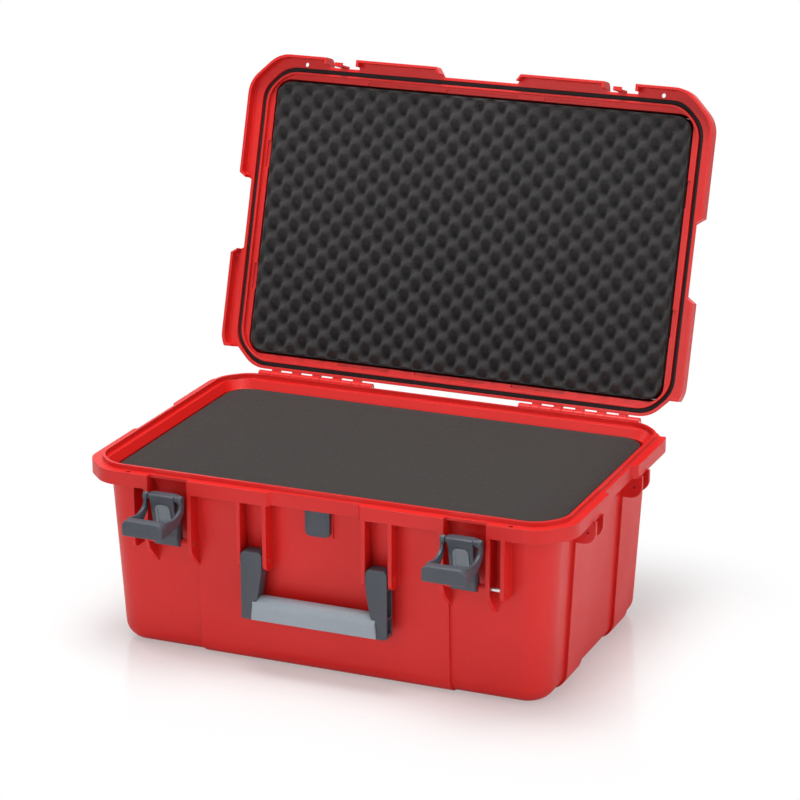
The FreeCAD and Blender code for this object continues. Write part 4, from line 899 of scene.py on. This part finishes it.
@dataclass
class Latch:
    """One front latch in millimetres: claw and lock button about the pivot pin, lever about its own pin."""

    side: Side
    tilt: float = 12.6
    claw_half: float = 16.0
    claw_top: float = 68.8
    plate_front: float = -8.0
    plate_foot: float = 21.0
    foot_front: float = -12.0
    foot_low: float = 0.6
    foot_top: float = 15.0
    ledge: float = 2.4
    boss_half: float = 20.1
    boss_radius: float = 4.5
    lever_axis: Span = (-3.0, 64.3)
    pivot_bore: float = 2.55
    lever_bore: float = 1.53
    button_half: float = 10.2
    button_low: float = 28.0
    button_high: float = 56.8
    button_front: float = -9.5
    button_back: float = -5.0
    button_round: float = 6.5
    button_rim: float = 2.4
    button_dish: float = 2.1
    button_step: float = 0.7
    window_floor: float = -2.5
    window_play: float = 0.35
    arm_inner: float = 22.2
    arm_outer: float = 26.3
    hub_inner: float = 20.4
    hub_radius: float = 5.0
    elbow_low: Span = (-5.0, -29.5)
    elbow_back: Span = (4.0, -15.0)
    elbow_top: Span = (-16.0, -19.5)
    neck: Span = (-2.6, -10.0)
    bore_half: float = 25.4
    bar_half: float = 27.5
    bar_front: float = -60.0
    bar_back: float = -45.0
    bar_top: float = -13.0
    bar_low: float = -33.5

    def build(self, finishes: Finishes) -> None:
        """Make the claw, the lock button and the lever, and put them in their places."""
        label = self.side.label
        tilted = joint_place(f"{label}_claw_pivot") @ Matrix.Rotation(math.radians(self.tilt), 4, "X")
        level = joint_place(f"{label}_lever_pivot")
        for name, shape, place, body, slot in (
            ("latch_claw", self.claw(), tilted, "claw", "dark_plastic"),
            ("lock_button", self.button(), tilted, "button", "button_plastic"),
            ("latch_lever", self.lever(), level, "lever", "dark_plastic"),
        ):
            bmesh.ops.transform(shape, matrix=place, verts=shape.verts)
            piece = settle(f"{label}_{name}_dressed", shape, finishes.by_slot[slot])
            attach(piece, f"{label}_{body}", slot, f"{label}_{name}")

    def key(self, front: float, back: float, play: float) -> Shape:
        """Key with a round top, as the lock button's body and as the tool for its window.

        Args:
            front: Front of the key.
            back: Back of the key.
            play: How far it is drawn larger all round.

        Returns:
            The closed shape.
        """
        half = self.button_half + play
        low, high = self.button_low - play, self.button_high + play
        shape = drawn([(-half, low), (half, low), (half, high), (-half, high)], back, front, "y")
        upper = [edge for edge in edges_at(shape, z=high) if runs_along(edge, "y")]
        return round_off(shape, upper, self.button_round + play, 6)

    def claw(self) -> Shape:
        """Claw: thick foot, plate with a window, hooked top and the bar that carries the lever."""
        front, top, foot, step = self.plate_front, self.claw_top, self.foot_front, self.claw_top - self.ledge
        outline = [
            (foot, self.foot_low), (-3.0, -4.4), (0.0, -5.0), (3.4, -3.6), (4.5, 0.0), (4.5, 51.2), (3.0, 52.4),
            (3.0, 63.8), (6.0, 63.8), (6.0, step), (front + 4.0, step), (front + 4.0, top),
            (front, top), (front, self.plate_foot), (foot, self.foot_top),
        ]
        shape = drawn(outline, -self.claw_half, self.claw_half)
        for y, z, radius, segments in (
            (front, top, 1.4, 3),
            (front, self.plate_foot, 7.0, 5),
            (foot, self.foot_top, 4.0, 4),
            (foot, self.foot_low, 2.4, 3),
        ):
            round_off(shape, edges_at(shape, y=y, z=z), radius, segments)
        round_off(shape, sharp_edges(shape), 0.9, 2)
        boss = rod((-self.boss_half, self.boss_half), self.boss_radius - 1.0, *self.lever_axis)
        bar = block((-self.boss_half, self.boss_half), (-4.6, 5.6), (top - 9.4, top - 2.8))
        round_off(bar, sharp_edges(bar), 1.2, 3)
        shape = all_joined([shape, round_off(boss, sharp_edges(boss), 0.6, 2), bar])
        shape = combined(shape, self.key(-20.0, self.window_floor, self.window_play), Combine.CUT)
        return combined(shape, rod((-30.0, 30.0), self.pivot_bore, 0.0, 0.0, BORE_SIDES), Combine.CUT)

    def button(self) -> Shape:
        """Lock button: a key with a raised rim round a dished face."""
        shape = self.key(self.button_front, self.button_back, 0.0)
        face = min(shape.faces, key=lambda item: item.calc_center_median().y)
        bmesh.ops.inset_region(shape, faces=[face], thickness=self.button_rim, use_even_offset=True)
        bmesh.ops.inset_region(shape, faces=[face], thickness=self.button_step, use_even_offset=True)
        bmesh.ops.translate(shape, vec=(0.0, self.button_dish, 0.0), verts=face.verts)
        return round_off(shape, sharp_edges(shape), 0.45, 2)

    def lever(self) -> Shape:
        """Lever: two bent arms on hubs and the grip bar between them."""
        outline = [
            (4.4, 1.0), self.elbow_back, self.elbow_low, (self.bar_back - 1.0, self.bar_low + 0.6),
            (self.bar_back - 1.0, self.bar_top - 1.2), self.elbow_top, self.neck, (-3.0, 1.0),
        ]
        arm = drawn(outline, self.arm_inner, self.arm_outer)
        for (y, z), radius, segments in (
            (self.elbow_low, 15.0, 8),
            (self.elbow_back, 12.0, 6),
            (self.elbow_top, 12.0, 8),
            (self.neck, 5.0, 6),
        ):
            round_off(arm, edges_at(arm, y=y, z=z), radius, segments)
        round_off(arm, sharp_edges(arm), 0.7, 2)
        hub = rod((self.hub_inner, self.arm_outer), self.hub_radius, 0.0, 0.0)
        round_off(hub, sharp_edges(hub), 0.7, 2)
        bar = block((-self.bar_half, self.bar_half), (self.bar_front, self.bar_back), (self.bar_low, self.bar_top))
        for x in (-self.bar_half, self.bar_half):
            round_off(bar, edges_at(bar, x=x, z=self.bar_top), 8.0, 8)
            round_off(bar, edges_at(bar, x=x, z=self.bar_low), 3.0, 4)
        round_off(bar, sharp_edges(bar), 2.4, 4)
        scoop = block((-21.0, 21.0), (-54.5, -30.0), (self.bar_low - 1.0, self.bar_top - 4.5))
        round_off(scoop, sharp_edges(scoop), 3.0, 4)
        bar = combined(bar, scoop, Combine.CUT)
        whole = all_joined([bar, arm.copy(), mirrored(arm), hub.copy(), mirrored(hub)])
        arm.free()
        hub.free()
        bore = rod((-self.bore_half, self.bore_half), self.lever_bore, 0.0, 0.0, BORE_SIDES)
        return combined(whole, bore, Combine.CUT)


@dataclass
class CarryHandle:
    """Folding carry handle in millimetres, drawn about its pivot: cored arms and a soft grip."""

    arm_inner: float = 69.2
    arm_outer: float = 97.2
    arm_half_depth: float = 9.0
    crown: float = 11.0
    drop: float = 78.0
    waist: float = -14.0
    grip_top: float = -48.5
    grip_half: float = 79.7
    grip_lean: float = 4.4
    grip_half_depth: float = 11.5
    core_floor: float = 88.2
    core_half_depth: float = 6.0
    core_foot: float = 6.0
    core_web: Span = (-53.0, -50.4)
    core_top: float = -15.0
    crest_low: float = 3.0
    bar_half_depth: float = 5.0
    bar_height: float = 17.5
    grip_play: float = 0.25
    pin_bore: float = 2.53

    def build(self, finishes: Finishes) -> None:
        """Make the frame and the grip."""
        place = joint_place("handle_pivot")
        for name, shape, slot in (
            ("handle_frame", self.frame(), "dark_plastic"),
            ("handle_grip", self.grip(), "grip_plastic"),
        ):
            bmesh.ops.transform(shape, matrix=place, verts=shape.verts)
            piece = settle(f"{name}_dressed", shape, finishes.by_slot[slot])
            attach(piece, "carry_handle", slot, name)

    def frame(self) -> Shape:
        """Two arms with cored outer sides, and the bar that the grip hides."""
        depth, low = self.arm_half_depth, -self.drop
        outline = [
            (self.arm_outer, low), (self.arm_outer, self.crown), (self.arm_inner, self.crown),
            (self.arm_inner, self.waist), (self.grip_half - self.grip_lean, self.grip_top),
            (self.grip_half + self.grip_lean, low),
        ]
        arm = drawn(outline, -depth, depth, "y")
        round_off(arm, edges_at(arm, x=self.arm_inner, z=self.waist), 12.0, 6)
        for x in (self.arm_inner, self.arm_outer):
            round_off(arm, edges_at(arm, x=x, z=self.crown), 6.0, 6)
        round_off(arm, edges_at(arm, x=self.arm_outer, z=low), 2.5, 4)
        for y in (-depth, depth):
            face = [edge for edge in edges_at(arm, y=y) if runs_along(edge, "x")]
            crest = [edge for edge in face if all(vert.co.z > self.crest_low for vert in edge.verts)]
            round_off(arm, crest, 5.0, 6)
            round_off(arm, edges_at(arm, y=y, z=low), 4.4, 4)
        round_off(arm, sharp_edges(arm), 1.0, 2)
        half, foot = self.core_half_depth, low + self.core_foot
        for core in ((foot, self.core_web[0]), (self.core_web[1], self.core_top)):
            pocket = block((self.core_floor, self.arm_outer + 3.0), (-half, half), core)
            arm = combined(arm, round_off(pocket, sharp_edges(pocket), 0.8, 2), Combine.CUT)
        bar_depth = self.bar_half_depth
        bar = block((-self.grip_half, self.grip_half), (-bar_depth, bar_depth), (foot, foot + self.bar_height))
        whole = all_joined([arm, mirrored(arm), bar])
        return combined(whole, rod((-110.0, 110.0), self.pin_bore, 0.0, 0.0, BORE_SIDES), Combine.CUT)

    def grip(self) -> Shape:
        """Soft grip: a rounded bar whose ends lean outwards to the foot."""
        span, depth, low = self.grip_half, self.grip_half_depth, -self.drop
        shape = block((-span, span), (-depth, depth), (low, self.grip_top))
        for y, z, radius in (
            (-depth, self.grip_top, 13.0), (depth, self.grip_top, 8.0), (-depth, low, 2.6), (depth, low, 6.0)
        ):
            round_off(shape, edges_at(shape, y=y, z=z), radius, 9)
        middle = (low + self.grip_top) / 2
        for vert in shape.verts:
            share = (middle - vert.co.z) / (self.grip_top - middle)
            vert.co.x += math.copysign(self.grip_lean * share - self.grip_play, vert.co.x)
        return round_off(shape, sharp_edges(shape), 1.4, 3)


@dataclass
class ValveCover:
    """Cover of the pressure relief valve: round lower corners and a slightly raised face."""

    corner: float = 7.0 * MM
    edge: float = 1.1 * MM
    face_margin: float = 3.2 * MM
    face_rise: float = 0.5 * MM

    def build(self, finishes: Finishes) -> None:
        """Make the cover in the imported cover's place."""
        low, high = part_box("relief_valve_cover")
        front = low.y + self.face_rise
        outline = [(low.x, low.z), (high.x, low.z), (high.x, high.z), (low.x, high.z)]
        shape = drawn(outline, high.y, front, "y")
        near = NEAR * MM
        lower = [edge for edge in edges_at(shape, near, z=low.z) if runs_along(edge, "y", near)]
        round_off(shape, lower, self.corner, 8)
        face = min(shape.faces, key=lambda item: item.calc_center_median().y)
        bmesh.ops.inset_region(shape, faces=[face], thickness=self.face_margin, use_even_offset=True)
        bmesh.ops.inset_region(shape, faces=[face], thickness=self.face_rise, use_even_offset=True)
        bmesh.ops.translate(shape, vec=(0.0, -self.face_rise, 0.0), verts=face.verts)
        round_off(shape, sharp_edges(shape, 50.0), self.edge, 3)
        piece = settle("relief_valve_cover_dressed", shape, finishes.by_slot["dark_plastic"])
        attach(piece, "base", "dark_plastic", "relief_valve_cover")


@dataclass(frozen=True)
class Lamp:
    """Square soft light that faces the case: where it hangs, its side in metres and its power in watts."""

    name: str
    place: Place
    size: float
    power: float

    def hang(self, target: Place) -> None:
        """Add the light to the scene, turned towards a target."""
        light = bpy.data.lights.new(self.name, "AREA")
        light.size = self.size
        light.energy = self.power
        lamp = bpy.data.objects.new(self.name, light)
        lamp.location = self.place
        aim = Vector(target) - Vector(self.place)
        lamp.rotation_euler = aim.to_track_quat("-Z", "Y").to_euler()
        bpy.context.scene.collection.objects.link(lamp)


LAMPS = (
    Lamp("key_panel", (-0.6, -3.2, 1.3), 2.0, 38.0),
    Lamp("side_panel", (3.0, -0.9, 1.2), 2.0, 34.0),
    Lamp("left_panel", (-2.6, 0.6, 2.2), 1.2, 10.0),
    Lamp("top_panel", (-0.1, -0.1, 3.0), 1.6, 80.0),
)


@dataclass
class Studio:
    """Pale floor, soft light and the camera."""

    position: Place = (1.4230, -3.3536, 1.4914)
    azimuth: float = 22.631
    elevation: float = 18.066
    lens: float = 136.666
    sensor: float = 36.0
    clip_end: float = 50.0
    lamp_target: Place = (0.0, 0.05, 0.25)
    floor_half: float = 6.0
    floor_colour: Colour = (0.9, 0.9, 0.9)
    floor_roughness: float = 0.14
    floor_specular: float = 0.9
    foot_half: Span = (0.285, 0.18)
    floor_fade: float = 0.26
    floor_white: float = 0.32
    diffuse_light: float = 0.22
    front_dim: float = 0.85

    def build(self) -> None:
        """Make the floor, the lights and the camera."""
        self.floor()
        self.world()
        for lamp in LAMPS:
            lamp.hang(self.lamp_target)
        self.camera()

    def floor(self) -> None:
        """Wide pale floor that keeps shadow and reflection near the case and fades to white further out."""
        shape = bmesh.new()
        bmesh.ops.create_grid(shape, x_segments=1, y_segments=1, size=self.floor_half)
        material, tree, shader = start_material("studio_floor")
        shader.inputs["Base Color"].default_value = (*self.floor_colour, 1.0)
        shader.inputs["Roughness"].default_value = self.floor_roughness
        shader.inputs["Specular IOR Level"].default_value = self.floor_specular
        place = tree.add("ShaderNodeSeparateXYZ")
        tree.feed(place.inputs[0], tree.add("ShaderNodeTexCoord").outputs["Object"])
        away = []
        for axis, half in zip("XY", self.foot_half):
            beyond = tree.sum("SUBTRACT", tree.sum("ABSOLUTE", place.outputs[axis]), half)
            away.append(tree.sum("POWER", tree.sum("MAXIMUM", beyond, 0.0), 2.0))
        distance = tree.sum("SQRT", tree.sum("ADD", *away))
        share = tree.sum("MULTIPLY", tree.ramp(distance, 0.0, self.floor_fade), 1.0 - self.floor_white)
        share = tree.sum("ADD", share, self.floor_white)
        seen = tree.add("ShaderNodeLightPath").outputs["Is Camera Ray"]
        white = tree.add("ShaderNodeEmission")
        mixed = tree.add("ShaderNodeMixShader")
        tree.feed(mixed.inputs[0], tree.sum("MULTIPLY", share, seen))
        tree.feed(mixed.inputs[1], shader.outputs[0])
        tree.feed(mixed.inputs[2], white.outputs[0])
        tree.feed(material.node_tree.nodes["Material Output"].inputs["Surface"], mixed.outputs[0])
        floor = settle("studio_floor", shape, material)

    def world(self) -> None:
        """White surroundings for the camera, with a dim upper front for reflections and diffuse light."""
        world = bpy.data.worlds.new("studio_world")
        bpy.context.scene.world = world
        world.use_nodes = True
        tree = Tree(world.node_tree)
        rays = tree.add("ShaderNodeLightPath").outputs
        seen = tree.sum("ADD", rays["Is Camera Ray"], rays["Is Glossy Ray"], clamp=True)
        seen = tree.sum("ADD", seen, rays["Is Transmission Ray"], clamp=True)
        way = tree.add("ShaderNodeSeparateXYZ")
        tree.feed(way.inputs[0], tree.add("ShaderNodeTexCoord").outputs["Generated"])
        ahead = tree.ramp(tree.sum("MULTIPLY", way.outputs["Y"], -1.0), low=0.1, high=0.7)
        dim = tree.sum("MULTIPLY", ahead, tree.ramp(way.outputs["Z"], low=-0.05, high=0.12))
        unseen = tree.sum("SUBTRACT", 1.0, rays["Is Camera Ray"])
        kept = tree.sum("SUBTRACT", 1.0, tree.sum("MULTIPLY", tree.sum("MULTIPLY", dim, unseen), self.front_dim))
        back = world.node_tree.nodes["Background"]
        back.inputs["Color"].default_value = (1.0, 1.0, 1.0, 1.0)
        shown = tree.sum("MULTIPLY", seen, 1.0 - self.diffuse_light)
        plain = tree.sum("ADD", shown, self.diffuse_light)
        tree.feed(back.inputs["Strength"], tree.sum("MULTIPLY", plain, kept))

    def camera(self) -> None:
        """Place the camera at the photograph's angle."""
        turn, lift = math.radians(self.azimuth), math.radians(self.elevation)
        back = Vector((math.sin(turn) * math.cos(lift), -math.cos(turn) * math.cos(lift), math.sin(lift)))
        lens = bpy.data.cameras.new("camera")
        lens.lens = self.lens
        lens.sensor_width = self.sensor
        lens.clip_end = self.clip_end
        camera = bpy.data.objects.new("camera", lens)
        camera.location = self.position
        camera.rotation_euler = (-back).to_track_quat("-Z", "Y").to_euler()
        bpy.context.scene.collection.objects.link(camera)
        bpy.context.scene.camera = camera


def main() -> None:
    """Build every piece of the case in order."""
    logging.basicConfig(level=logging.INFO, format="%(message)s")
    bpy.context.scene.view_settings.view_transform = "Standard"
    finishes = Finishes()
    Shells().dress(finishes)
    BaseFoam().build(finishes)
    LidFoam().build(finishes)
    for side in Side:
        Latch(side).build(finishes)
    CarryHandle().build(finishes)
    ValveCover().build(finishes)
    Studio().build()


if __name__ == "__main__":
    main()
